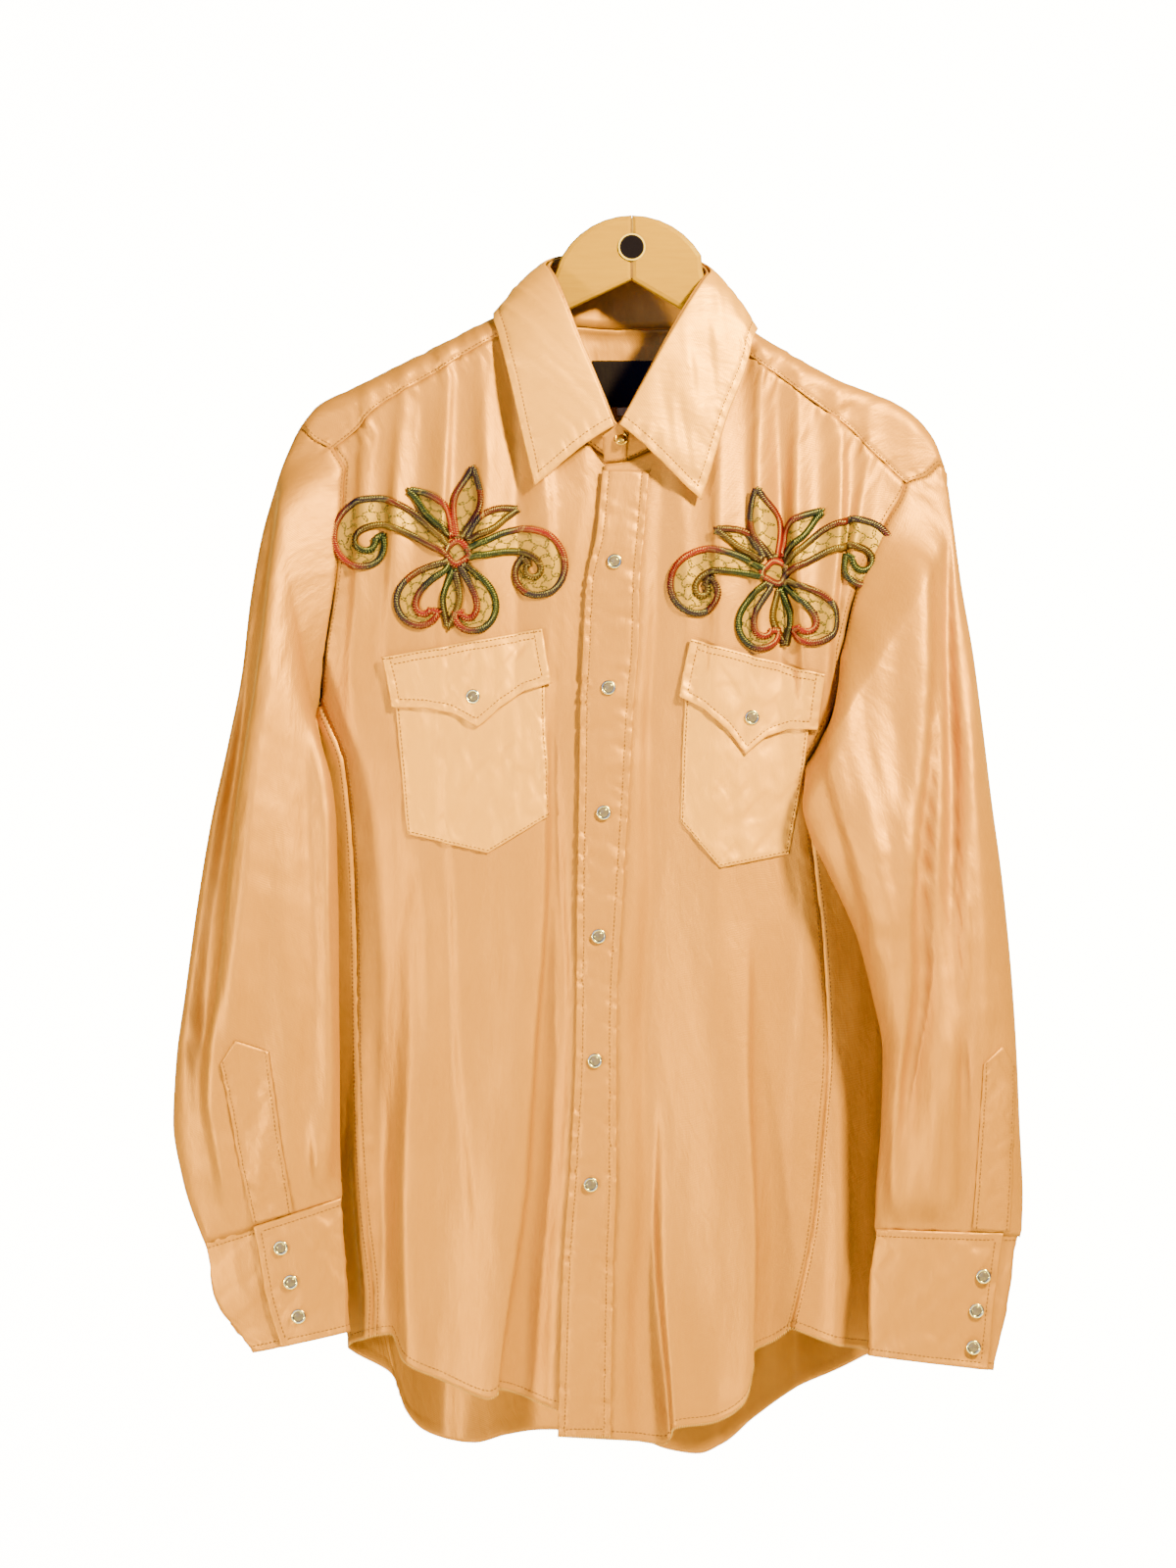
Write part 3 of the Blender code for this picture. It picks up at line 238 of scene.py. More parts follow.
def ripple(u, v, size_u, size_v, seed):
    """Smooth unevenness from -1 to 1 that is the same each time."""
    lattice = np.random.default_rng(seed).uniform(-1, 1, (LATTICE, LATTICE))
    u, v = np.asarray(u) / size_u + LATTICE_START, np.asarray(v) / size_v + LATTICE_START
    i, j = np.floor(u).astype(int), np.floor(v).astype(int)
    s, t = smooth_step(u - i), smooth_step(v - j)
    near, far = (lattice[i % LATTICE, k % LATTICE] * (1 - s)
                 + lattice[(i + 1) % LATTICE, k % LATTICE] * s for k in (j, j + 1))
    return near * (1 - t) + far * t


def unevenness(u, v, rows):
    """Sum of ripples, each given by its height, its size both ways and its seed."""
    return sum(height * ripple(u, v, *row) for height, *row in rows)


torso = table_curves(TORSO, TORSO_COLUMNS)
shoulder = table_curves(SHOULDER, SHOULDER_COLUMNS)
placket = table_curves(PLACKET, PLACKET_COLUMNS)


def relief(folds, x, z):
    """Height of the folds at each place, and how far they lean over their sharp sides."""
    height, lean = np.zeros(np.shape(x)), np.zeros(np.shape(x))
    for x1, z1, x2, z2, x3, z3, rise1, rise2, rise3, left, right in folds:
        path = curve((z3, z2, z1), (x3, x2, x1))(z)
        path = path + FOLD_WANDER * np.sin(z / WANDER_LENGTH + x1)
        rise = np.interp(z, (z3 - FOLD_FADE, z3, z2, z1, z1 + FOLD_FADE),
                         (0, rise3, rise2, rise1, 0))
        away = x - path
        flank = np.where(away < 0, left, right)
        power = np.where(flank < SHARP_FLANK, SHARP_POWER, SOFT_POWER)
        ridge = FOLD_RISE * rise * np.exp(-(np.abs(away) / flank) ** power)
        height += ridge
        if min(left, right) < SHARP_FLANK:
            lean += math.copysign(FOLD_LEAN, left - right) * np.maximum(ridge, 0)
    return height, lean


def clear_of_placket(x, z):
    outside = np.maximum(placket.left(z) - x, x - placket.right(z))
    return smooth_step((outside - PLACKET_CLEARANCE) / PLACKET_REACH)


def torso_angle(x, z, side=FRONT):
    """Place round the torso's section: 0 in front, pi at the back."""
    left, right = torso.left(z), torso.right(z)
    across = np.clip((2 * x - left - right) / (right - left), -1, 1)
    angle = np.arcsin(signed_power(across, torso.fullness(z) / 2))
    return np.pi - angle if side == BACK else angle


def torso_x(angle, z):
    left, right = torso.left(z), torso.right(z)
    return ((left + right) / 2
            + (right - left) / 2 * signed_power(np.sin(angle), 2 / torso.fullness(z)))


def torso_point(angle, z):
    """Point of the torso's outer face."""
    angle, z = np.broadcast_arrays(np.asarray(angle, float), np.asarray(z, float))
    x = torso_x(angle, z)
    edge = signed_power(np.cos(angle), 2 / torso.fullness(z))
    front = edge > 0
    drop = np.maximum(shoulder.top(x) - z, 0)
    radius = np.where(front, shoulder.front_radius(x), shoulder.back_radius(x))
    depth = np.where(front, torso.front(z), torso.back(z))
    turn = np.sqrt(1 - (1 - np.minimum(drop / radius, 1)) ** 2)
    reach = radius + np.maximum(depth - radius, 0) * smooth_step((drop - radius) / CHEST_REACH)
    rise, lean = relief(FRONT_FOLDS, x, z)
    rise_back, lean_back = relief(BACK_FOLDS, x, z)
    clear = clear_of_placket(x, z)
    soft = unevenness(x, z, BODY_UNEVENNESS)
    rise = np.where(front, -(rise + soft) * clear, rise_back + soft)
    lean = np.where(front, lean * clear, lean_back)
    fade = np.minimum(1, 2 * np.abs(edge)) * turn
    return points(x + lean * fade, -edge * reach * turn + rise * fade, z)


def torso_normal(angle, z):
    """Direction outwards from the torso."""
    across = torso_point(angle + 0.01, z) - torso_point(angle - 0.01, z)
    upwards = torso_point(angle, z + 1) - torso_point(angle, z - 1)
    return unit(np.cross(across, upwards))


def lifted_point(angle, z, lift):
    return torso_point(angle, z) + torso_normal(angle, z) * lift


def front_point(x, z, lift):
    return lifted_point(torso_angle(x, z), z, lift)


def way_along(places):
    steps = np.linalg.norm(np.diff(places, axis=0), axis=-1)
    return np.concatenate([np.zeros_like(steps[:1]), np.cumsum(steps, axis=0)])


def stations(rows, count, place=None):
    """count + 1 points at even steps along a smooth path; place maps them to 3-D."""
    rows = np.asarray(rows, float)
    lengths = way_along(rows if place is None else place(*rows.T))
    at = np.linspace(0, lengths[-1], count + 1)
    return np.stack([curve(lengths, column)(at) for column in rows.T], axis=1)


def read_between(at, keys, rows):
    return np.stack([np.interp(at, keys, column) for column in rows.T], axis=1)


def polyline(rows, count):
    """count + 1 points at even steps along straight runs."""
    rows = np.asarray(rows, float)
    lengths = way_along(rows)
    return read_between(np.linspace(0, lengths[-1], count + 1), lengths, rows)


def fill_patch(top, bottom, left, right, down=None):
    """Grid of points inside four edges; top and bottom run right, the others down."""
    v = (np.linspace(0, 1, len(left)) if down is None else np.asarray(down))[:, None, None]
    u = np.linspace(0, 1, len(top))[None, :, None]
    top, bottom, left, right = (np.asarray(edge, float) for edge in (top, bottom, left, right))
    edges = (1 - v) * top[None] + v * bottom[None] + (1 - u) * left[:, None] + u * right[:, None]
    corners = ((1 - v) * ((1 - u) * top[0] + u * top[-1])
               + v * ((1 - u) * bottom[0] + u * bottom[-1]))
    return edges - corners


def torso_path(rows, count, turns=0):
    """Stations along a seam given as x, z and side, as angles and heights."""
    angles = np.unwrap([float(torso_angle(*row)) for row in rows]) + turns * 2 * math.pi
    return stations([(angle, row[1]) for angle, row in zip(angles, rows)], count, torso_point)


def draw_in(grid, top=0, bottom=0, left=0, right=0):
    """Edges of a grid moved inwards by half of each seam's gap."""
    grid = grid.copy()
    for gap, edge, inner in ((top, 0, 1), (bottom, -1, -2)):
        grid[edge] += unit(grid[inner] - grid[edge]) * gap / 2
    for gap, edge, inner in ((left, 0, 1), (right, -1, -2)):
        grid[:, edge] += unit(grid[:, inner] - grid[:, edge]) * gap / 2
    return grid


def grid_normals(grid, closed=False):
    """Direction outwards from a sheet whose rows run right and down as seen from outside."""
    wide = np.concatenate([grid[:, -1:], grid, grid[:, :1]], axis=1) if closed else grid
    across = np.gradient(wide, axis=1)
    across = across[:, 1:-1] if closed else across
    return unit(np.cross(np.gradient(grid, axis=0), across))


def from_edge(grid, edge):
    """Distance of each point from one edge of the grid, along the cloth."""
    if edge in ("top", "bottom"):
        way = way_along(grid)
        return way if edge == "top" else way[-1:] - way
    way = way_along(grid.transpose(1, 0, 2)).T
    return way if edge == "left" else way[:, -1:] - way


def beside_edge(grid, edge):
    """Each point's way in from an edge, and its way along that edge."""
    return from_edge(grid, edge), from_edge(grid, "left" if edge in ("top", "bottom") else "top")


def pressed(grid, depth, closed=False):
    """The sheet moved inwards by a depth at each point."""
    return grid - grid_normals(grid, closed) * depth[..., None]


def bell(way, width):
    return np.exp(-(way / width) ** 2)


def sew(grid, closed=False, **edges):
    """The sheet drawn down at its sewn edges and gathered beside them."""
    depth = np.zeros(grid.shape[:2])
    for number, (edge, pucker) in enumerate(edges.items()):
        near, along = beside_edge(grid, edge)
        reach = (8 + 7 * pucker) * (1 + 0.6 * ripple(along, 0, 9, 1, 71 + number))
        depth += SEAM_DIP * bell(near, SEAM_DIP_WIDTH)
        depth += (pucker * ripple(along, near, PUCKER_WIDTH, PUCKER_LENGTH, 11 + number)
                  * bell(near, reach) * smooth_step(near / 3))
    return pressed(grid, depth, closed)


def topstitch(grid, inset, pucker=0.3, edges=("left", "right", "bottom")):
    """The sheet drawn down along rows of stitches inside its edges, and puckered there."""
    depth = np.zeros(grid.shape[:2])
    for number, edge in enumerate(edges):
        near, along = beside_edge(grid, edge)
        depth += STITCH_DIP * bell(near - inset, STITCH_DIP_WIDTH)
        depth += (pucker * bell(near - inset, 0.8 * inset + 1.5)
                  * ripple(along, near, STITCH_PUCKER_WIDTH, STITCH_PUCKER_LENGTH, 81 + number))
    return pressed(grid, depth)


def seam_row(grid, edge, inset, start=0, end=0):
    """Places and outward directions along a sheet, this far in from one edge."""
    near, lines = from_edge(grid, edge), np.concatenate([grid, grid_normals(grid)], axis=2)
    if edge in ("top", "bottom"):
        near, lines = near.T, lines.transpose(1, 0, 2)
    orders = np.argsort(near, axis=1)
    row = np.vstack([read_between([inset], way[order], line[order])
                     for way, line, order in zip(near, lines, orders)])
    length = way_along(row[:, :3])
    return row[(length >= start) & (length <= length[-1] - end)]


def shade_group(name, inputs, outputs):
    """Empty node group with named sockets, given as name, kind and default."""
    group = bpy.data.node_groups.new(name, "ShaderNodeTree")
    for label, kind, value in inputs:
        socket = group.interface.new_socket(label, in_out="INPUT", socket_type=kind)
        socket.default_value = value
    for label, kind in outputs:
        group.interface.new_socket(label, in_out="OUTPUT", socket_type=kind)
    return group, group.nodes.new("NodeGroupInput"), group.nodes.new("NodeGroupOutput")


def add_node(tree, kind, inputs=(), **settings):
    """Node with its settings; inputs are values or the sockets that feed them."""
    node = tree.nodes.new(kind)
    for name, value in settings.items():
        setattr(node, name, value)
    for key, value in dict(inputs).items():
        if isinstance(value, bpy.types.NodeSocket):
            tree.links.new(value, node.inputs[key])
        else:
            node.inputs[key].default_value = value
    return node


def new_material(name):
    """Material with its node tree and its shader."""
    material = bpy.data.materials.new(name)
    material.use_nodes = True
    return material, material.node_tree, material.node_tree.nodes["Principled BSDF"]


def math_node(tree, operation, first, second=0.0, third=0.0):
    return add_node(tree, "ShaderNodeMath", {0: first, 1: second, 2: third},
                    operation=operation).outputs[0]


def mix_colour(tree, share, first, second):
    return add_node(tree, "ShaderNodeMix", {0: share, 6: first, 7: second},
                    data_type="RGBA").outputs[2]


def noise(tree, vector, scale=1.0, stretch=None, turn=(0, 0, 0), **grain):
    """Noise on a vector that is first stretched and turned; grain is its other inputs."""
    if stretch:
        vector = add_node(tree, "ShaderNodeMapping", {"Vector": vector, "Scale": stretch,
                                                      "Rotation": turn}).outputs[0]
    grain = {key.title(): value for key, value in grain.items()}
    return add_node(tree, "ShaderNodeTexNoise",
                    {"Vector": vector, "Scale": scale, **grain}).outputs[0]


def make_weave_group():
    """Fine twill with slubs and crinkles, on the cloth's own way across and down."""
    group, given, result = shade_group(
        "twill_weave",
        [("Vector", "NodeSocketVector", (0, 0, 0)), ("Colour", "NodeSocketColor", (1, 1, 1, 1)),
         ("Deep Colour", "NodeSocketColor", (0.5, 0.5, 0.5, 1)),
         ("Threads per Metre", "NodeSocketFloat", 2400.0)],
        [("Colour", "NodeSocketColor"), ("Roughness", "NodeSocketFloat"),
         ("Height", "NodeSocketFloat")])
    vector = given.outputs["Vector"]
    scale = math_node(group, "DIVIDE", given.outputs["Threads per Metre"], 6.2832)
    twill = add_node(group, "ShaderNodeTexWave",
                     {"Vector": vector, "Scale": scale, "Distortion": 1.2, "Detail": 1.0,
                      "Detail Scale": 2.0}, wave_type="BANDS",
                     bands_direction="DIAGONAL").outputs["Fac"]
    slubs = noise(group, vector, stretch=(900, 60, 1), detail=2.0)
    crinkle = noise(group, vector, stretch=(150, 70, 1), turn=(0, 0, 0.4), detail=4.0,
                    roughness=0.6, distortion=0.6)
    blotch = noise(group, vector, 14.0, detail=2.0)
    dents = noise(group, vector, stretch=(34, 9, 1), turn=(0, 0, 0.15), detail=3.0,
                  roughness=0.45, distortion=0.4)
    deep = math_node(group, "MULTIPLY_ADD", blotch, 0.5, -0.06)
    deep = math_node(group, "MULTIPLY_ADD", crinkle, 0.35, deep)
    deep = math_node(group, "MULTIPLY_ADD", slubs, 0.12, deep)
    deep = math_node(group, "MULTIPLY_ADD", twill, 0.1, deep)
    clamp = add_node(group, "ShaderNodeClamp", {"Value": deep}).outputs[0]
    group.links.new(mix_colour(group, clamp, given.outputs["Colour"],
                               given.outputs["Deep Colour"]), result.inputs["Colour"])
    group.links.new(math_node(group, "MULTIPLY_ADD", slubs, 0.14, 0.42),
                    result.inputs["Roughness"])
    height = math_node(group, "MULTIPLY_ADD", crinkle, 0.22, dents)
    height = math_node(group, "MULTIPLY_ADD", slubs, 0.03, height)
    group.links.new(math_node(group, "MULTIPLY_ADD", twill, 0.02, height),
                    result.inputs["Height"])
    return group


weave_group = make_weave_group()


CLOTH_BUMP, CLOTH_RELIEF = 0.6, 0.003


def cloth_material(name, colour, deep, lustre=0.0, gloss=0.2):
    """Woven cloth; lustre is the share of its light that it throws back as satin does."""
    material, tree, shader = new_material(name)
    way = add_node(tree, "ShaderNodeUVMap", uv_map="cloth").outputs[0]
    weave = add_node(tree, "ShaderNodeGroup", node_tree=weave_group)
    tree.links.new(way, weave.inputs["Vector"])
    weave.inputs["Colour"].default_value = (*colour, 1)
    weave.inputs["Deep Colour"].default_value = (*deep, 1)
    tree.links.new(weave.outputs["Colour"], shader.inputs["Base Color"])
    tree.links.new(weave.outputs["Roughness"], shader.inputs["Roughness"])
    raised = add_node(tree, "ShaderNodeBump",
                      {"Height": weave.outputs["Height"], "Strength": CLOTH_BUMP,
                       "Distance": CLOTH_RELIEF})
    tree.links.new(raised.outputs[0], shader.inputs["Normal"])
    shader.inputs["Metallic"].default_value = lustre
    shader.inputs["Specular IOR Level"].default_value = gloss
    return material


satin = cloth_material("peach_satin", (0.37, 0.172, 0.042), (0.27, 0.118, 0.029), lustre=0.42)
# A lighter copy of the satin for the collar, the pockets and the flaps: painted light that makes
# them brighter than the rest of the shirt.
satin_painted_light = cloth_material("satin_painted_light", (0.55, 0.275, 0.058), (0.43, 0.205, 0.042),
                                 lustre=0.42)


def thread_material(name, colour, deep):
    """Spun thread, lighter and darker along its way."""
    material, tree, shader = new_material(name)
    way = add_node(tree, "ShaderNodeUVMap", uv_map="cloth").outputs[0]
    tree.links.new(mix_colour(tree, noise(tree, way, 300.0), (*colour, 1), (*deep, 1)),
                   shader.inputs["Base Color"])
    shader.inputs["Roughness"].default_value = 0.5
    return material


fray_thread = thread_material("fray_thread", (0.5, 0.36, 0.2), (0.36, 0.2, 0.1))
seam_thread = thread_material("seam_thread", (0.12, 0.042, 0.016), (0.075, 0.026, 0.01))


def mesh_piece(name, corners, faces, way, material):
    """Piece with a mesh through these points, and their ways as its UV map."""
    mesh = bpy.data.meshes.new(name)
    mesh.from_pydata((corners.reshape(-1, 3) * MM).tolist(), [], faces.tolist())
    mesh.uv_layers.new(name="cloth").data.foreach_set("uv", (way.ravel() * MM).tolist())
    mesh.shade_smooth()
    mesh.materials.append(material)
    piece = bpy.data.objects.new(name, mesh)
    bpy.context.scene.collection.objects.link(piece)
    return piece


def sheet_object(name, grid, thickness, material, closed=False):
    """Sheet through rows of points, with its outer face on them and its way in metres."""
    rows, columns = grid.shape[:2]
    numbers = np.arange(rows * columns).reshape(rows, columns)
    places = grid
    if closed:
        numbers = np.concatenate([numbers, numbers[:, :1]], axis=1)
        places = np.concatenate([grid, grid[:, :1]], axis=1)
    corners = [(slice(0, -1), slice(0, -1)), (slice(1, None), slice(0, -1)),
               (slice(1, None), slice(1, None)), (slice(0, -1), slice(1, None))]
    faces = np.stack([numbers[corner] for corner in corners], axis=-1).reshape(-1, 4)
    across, down = from_edge(places, "left"), from_edge(places, "top")
    across = across - across[:, -1:] / 2
    way = np.stack([np.stack([across[corner], down[corner]], axis=-1) for corner in corners],
                   axis=2)
    piece = mesh_piece(name, grid, faces, way, material)
    wall = piece.modifiers.new("Wall", "SOLIDIFY")
    wall.thickness = thickness * MM
    wall.offset = -1
    bpy.context.view_layer.objects.active = piece
    bpy.ops.object.modifier_apply(modifier=wall.name)
    return piece


def dress(piece, slot, *nodes):
    """Let the piece ride with the shirt and stand for its CAD nodes."""
    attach(piece, "root")
    if nodes:
        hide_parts(*nodes)
    return piece


RING = np.array([(0, -1, 0), (0, 0, 1), (0, 1, 0), (0, 0, -1)])
SPINDLE = np.vstack([(-1, 0, 0), RING - (0.55, 0, 0), RING + (0.55, 0, 0), (1, 0, 0)])
SPINDLE_FACES = np.array([face for i, j in ((0, 1), (1, 2), (2, 3), (3, 0)) for face in
                          ((0, 1 + j, 1 + i), (9, 5 + i, 5 + j), (1 + i, 1 + j, 5 + j),
                           (1 + i, 5 + j, 5 + i))])


ROW_SHIFT = 37     # each row takes its colours from another place than the last


def add_stitches(name, rows, material=seam_thread, pitch=3.0, size=(2.4, 0.85, 0.8), slant=0.0):
    """One piece of short threads along rows of places and their outward directions."""
    corners, ways, done = [], [], 0
    for row in rows:
        length = way_along(row[:, :3])
        count = max(int(length[-1] / pitch), 1)
        at = (np.arange(count) + 0.5) * length[-1] / count
        place, out = np.split(read_between(at, length, row), 2, axis=1)
        along = unit(read_between(at + 0.5, length, row[:, :3])
                     - read_between(at - 0.5, length, row[:, :3]))
        across = unit(np.cross(out, along))
        turned = along * math.cos(slant) + across * math.sin(slant)
        beside = across * math.cos(slant) - along * math.sin(slant)
        axes = np.stack([turned * size[0], beside * size[1], out * size[2]], axis=1) / 2
        corners.append(place[:, None] + SPINDLE @ axes)
        ways.append(np.repeat(done + at, len(SPINDLE)))
        done += length[-1] + ROW_SHIFT
    corners, ways = np.concatenate(corners), np.concatenate(ways)
    faces = (SPINDLE_FACES + len(SPINDLE) * np.arange(len(corners))[:, None, None]).reshape(-1, 3)
    way = np.stack([ways[faces.ravel()], np.zeros(faces.size)], axis=1)
    return dress(mesh_piece(name, corners, faces, way, material), "shirt_cloth")


FRAYS = {"material": fray_thread, "pitch": 1.7, "size": (2.6, 0.35, 0.4), "slant": 1.2}


def cut_cloth(name, grid, node, thickness=CLOTH, closed=False,
              material=satin, rows=(), extras=(), frayed=False,
              slot="shirt_cloth"):
    """Sheet piece through a grid of points, that stands for its CAD node.

    rows are its rows of stitches, each an edge, a way in from it, and what is left out at
    its start and end. extras, other pieces sewn on it, are not used. A frayed hem sheds short
    threads.
    """
    piece = dress(sheet_object(name, grid, thickness, material, closed), slot, node)
    sewn = list(extras)
    if rows:
        sewn.append(add_stitches(name + "_stitches", [seam_row(grid, *row) for row in rows]))
    if frayed:
        sewn.append(add_stitches(name + "_frays", [seam_row(grid, "bottom", 0.3)], **FRAYS))
    return piece


YOKE_COLUMNS = 10
NECK_BACK = [
    (-86, -82, FRONT), (-85.2, -70.5, FRONT), (-83, -66.5, BACK), (-78, -67.5, BACK),
    (-66, -73, BACK), (-50, -75.7, BACK), (-35, -77.5, BACK), (-3, -79, BACK),
    (35, -79, BACK), (48, -78.2, BACK), (60, -77, BACK), (70, -76, BACK),
    (74.5, -75.5, BACK), (76, -80, FRONT), (76, -95, FRONT),
]
BACK_COLUMNS = 2 * YOKE_COLUMNS + len(NECK_BACK) - 1
ARMHOLE_ROWS = 7
SIDE_ROWS = 14
YOKE_BACK = [(-208, -198), (-105, -220), (-3, -241), (100, -226), (192, -212)]
ARMHOLE_BACK_LEFT = [(-208, -198, BACK), (-206, -240, BACK), (-210, -290, BACK),
                     (-217, -325, BACK), (-221, -345, BACK)]
ARMHOLE_BACK_RIGHT = [(192, -212, BACK), (190, -260, BACK), (190, -310, BACK),
                      (192, -350, BACK), (168, -374, FRONT), (145, -384, FRONT),
                      (122, -390, FRONT)]
SIDE_LEFT = [(-221, -345), (-204, -390), (-197, -470), (-195, -540), (-193, -619),
             (-187, -704), (-181, -758), (-181, -793)]
SIDE_RIGHT = [(122, -390), (128, -450), (136, -520), (139, -590), (135, -645),
              (128, -715), (112, -787)]
HEM_BACK = [
    (112, -787, FRONT), (143, -798, FRONT), (168, -808, BACK), (143, -822, BACK),
    (112, -838, BACK), (88, -855, BACK), (64, -876, BACK), (48, -882, BACK),
    (28, -879, BACK), (-10, -868, BACK), (-53, -865, BACK), (-89, -868, BACK),
    (-112, -873.5, BACK), (-129, -872, BACK), (-148, -865, BACK), (-161.5, -849, BACK),
    (-170, -825, BACK), (-197, -807, BACK), (-181, -793, FRONT),
]


def yoke_back_seam():
    return torso_path([(*row, BACK) for row in YOKE_BACK], BACK_COLUMNS * FINE)


def side_edge(armhole, side, turns=0):
    return np.vstack([torso_path(armhole, ARMHOLE_ROWS * ARMHOLE_FINE),
                      torso_path(side, SIDE_ROWS * SIDE_FINE, turns)[1:]])


back_grid = torso_point(*np.moveaxis(fill_patch(
    yoke_back_seam()[::-1], torso_path(HEM_BACK, BACK_COLUMNS * FINE),
    side_edge(ARMHOLE_BACK_RIGHT, SIDE_RIGHT),
    side_edge(ARMHOLE_BACK_LEFT, SIDE_LEFT, turns=1)), -1, 0))
back_grid = draw_in(back_grid, top=UNDER_SEAM, left=UNDER_SEAM, right=UNDER_SEAM)
back_grid = topstitch(sew(back_grid, top=0.8, left=0.4, right=0.4), HEM_INSET,
                      edges=["bottom"])
cut_cloth("back_panel", back_grid, "back", frayed=True,
          rows=[("bottom", HEM_INSET), ("left", SIDE_INSET), ("right", SIDE_INSET)])

# Yoke. A second piece of the same cloth over both shoulders, cut round the neck, that dips
# to a low point behind and ends in a slanting seam on each front, where the fronts are
# gathered into it.

ALL_ROUND = ("top", "bottom", "left", "right")
YOKE_FRONT_ROWS, YOKE_BACK_ROWS = 9, 6
YOKE_ROWS = (0, 0.045, 0.09, 0.13, 0.17, 0.21, 0.25, 0.29, 0.33, 0.37, 0.41, 0.46, 0.54,
             0.65, 0.8, 1)
YOKE_SEAM_LEFT = [(-212, -166), (-181.5, -138), (-146, -116), (-96, -87), (-86, -82)]
YOKE_SEAM_RIGHT = [(76, -95), (81.4, -98.7), (127.6, -131.8), (158.7, -155.9), (194, -190)]
YOKE_END_LEFT = [
    (-212, -166, FRONT), (-224, -160, FRONT), (-237, -153, FRONT),
    (-225, -166, BACK), (-214, -182, BACK), (-208, -198, BACK),
]
YOKE_END_RIGHT = [
    (194, -190, FRONT), (208, -185, FRONT), (222, -180, FRONT),
    (210, -187, BACK), (199, -199, BACK), (192, -212, BACK),
]


def yoke_place(x, z, side=FRONT):
    """x and the signed way over the shoulder, behind it positive."""
    radius = shoulder.back_radius(x) if side == BACK else shoulder.front_radius(x)
    drop = np.maximum(shoulder.top(x) - z, 0)
    way = radius * np.arccos(1 - np.minimum(drop / radius, 1)) + np.maximum(drop - radius, 0)
    return points(x, way if side == BACK else -way, 0)[..., :2]


def yoke_angle(places):
    """Angle and height on the torso."""
    x, way = places[..., 0], places[..., 1]
    behind = way > 0
    radius = np.where(behind, shoulder.back_radius(x), shoulder.front_radius(x))
    turn = np.minimum(np.abs(way) / radius, np.pi / 2)
    drop = radius * (1 - np.cos(turn)) + np.maximum(np.abs(way) - radius * np.pi / 2, 0)
    z = shoulder.top(x) - drop
    return np.where(behind, torso_angle(x, z, BACK), torso_angle(x, z)), z


def yoke_end(rows):
    front = stations([yoke_place(*row) for row in rows[:3]], YOKE_FRONT_ROWS * FINE)
    back_rows = [rows[2][:2] + (BACK,)] + rows[3:]
    back = stations([yoke_place(*row) for row in back_rows], YOKE_BACK_ROWS * FINE)
    return np.vstack([front, back[1:]])


def on_yoke(path, side):
    return yoke_place(torso_x(path[:, 0], path[:, 1]), path[:, 1], side)


def gather(grid, edge, rise, reach, width, length):
    """The sheet crinkled across one edge, as if the cloth beyond it were gathered."""
    near, along = beside_edge(grid, edge)
    reach = reach * (1 + 0.7 * ripple(along, 0, 2 * width, 1, 91))
    return pressed(grid, -rise * ripple(along, near, width, length, 92) * bell(near, reach))


neck_curves = index_curves([yoke_place(*row) for row in NECK_BACK])
neck_steps = np.linspace(0, len(NECK_BACK) - 1, (len(NECK_BACK) - 1) * FINE + 1)
neck_places = np.stack([column(neck_steps) for column in neck_curves], axis=1)
yoke_seams = [on_yoke(torso_path(seam, YOKE_COLUMNS * FINE), FRONT)
              for seam in (YOKE_SEAM_LEFT, YOKE_SEAM_RIGHT)]
yoke_steps = len(YOKE_ROWS) - 1
yoke_down = np.interp(np.linspace(0, yoke_steps, yoke_steps * FINE + 1), range(yoke_steps + 1),
                      YOKE_ROWS)
yoke_places = fill_patch(np.vstack([yoke_seams[0], neck_places[1:-1], yoke_seams[1]]),
                         on_yoke(yoke_back_seam(), BACK),
                         yoke_end(YOKE_END_LEFT), yoke_end(YOKE_END_RIGHT), down=yoke_down)
yoke_grid = torso_point(*yoke_angle(yoke_places))
yoke_grid = gather(yoke_grid[:, ::-1], "top", rise=1.4, reach=26, width=4.5, length=60)
yoke_grid = topstitch(yoke_grid, 2, 0.5, edges=ALL_ROUND)
cut_cloth("yoke_panel", yoke_grid, "yoke",
          rows=[("top", 1.8), ("bottom", 1.8), ("left", 2.5), ("right", 2.5)])

# Embroidery. A scrolled spray on each side of the chest, mirrored: satin areas of tan gold
# thread, wandering rows of olive stitches over them, and a thick twisted outline whose
# colours change along its way. Worked through the cloth by machine.

# Scrolls: where each starts, its heading and length, how it bends at its start and end in
# degrees a millimetre, and its half width at the start, the middle and the end.
SCROLLS = [
    (-8, -8, 158, 128, -0.9, 6.0, 3.0, 9.5, 3.0),
    (8, -8, 22, 112, 0.9, -7.0, 3.0, 9.0, 3.0),
    (0, 2, 90, 48, -0.6, 0.9, 2.0, 9.5, 0.8),
    (-7, 2, 124, 42, 0.4, 1.6, 1.6, 6.0, 0.7),
    (7, 2, 56, 38, -0.4, -1.6, 1.6, 5.6, 0.7),
    (-6, -17, 226, 68, -1.4, 7.8, 2.0, 6.5, 2.6),
    (6, -17, 312, 64, 1.4, -8.2, 2.0, 6.2, 2.4),
    (0, -22, 270, 38, 0.3, -0.3, 1.2, 6.5, 0.7),
    (-8.5, -9, 0, 17, 0, 0, 2.0, 8.0, 2.0),
]
SPRAYS = {"left_spray": (-122, -231, -9, 1.03, 1), "right_spray": (100, -245, 9, 1.0, -1)}
GOLD_LIFT, OLIVE_LIFT, ROPE_LIFT = 0.9, 1.1, 1.8
GOLD_THICKNESS, GOLD_COLUMNS = 0.6, 9
ROPE = {"pitch": 1.7, "size": (6.4, 2.4, 3.0), "slant": 1.0}
OLIVE = {"pitch": 2.4, "size": (2.2, 0.9, 0.9)}
ROPE_CYCLES = 4.3     # times that the colours come round in a metre
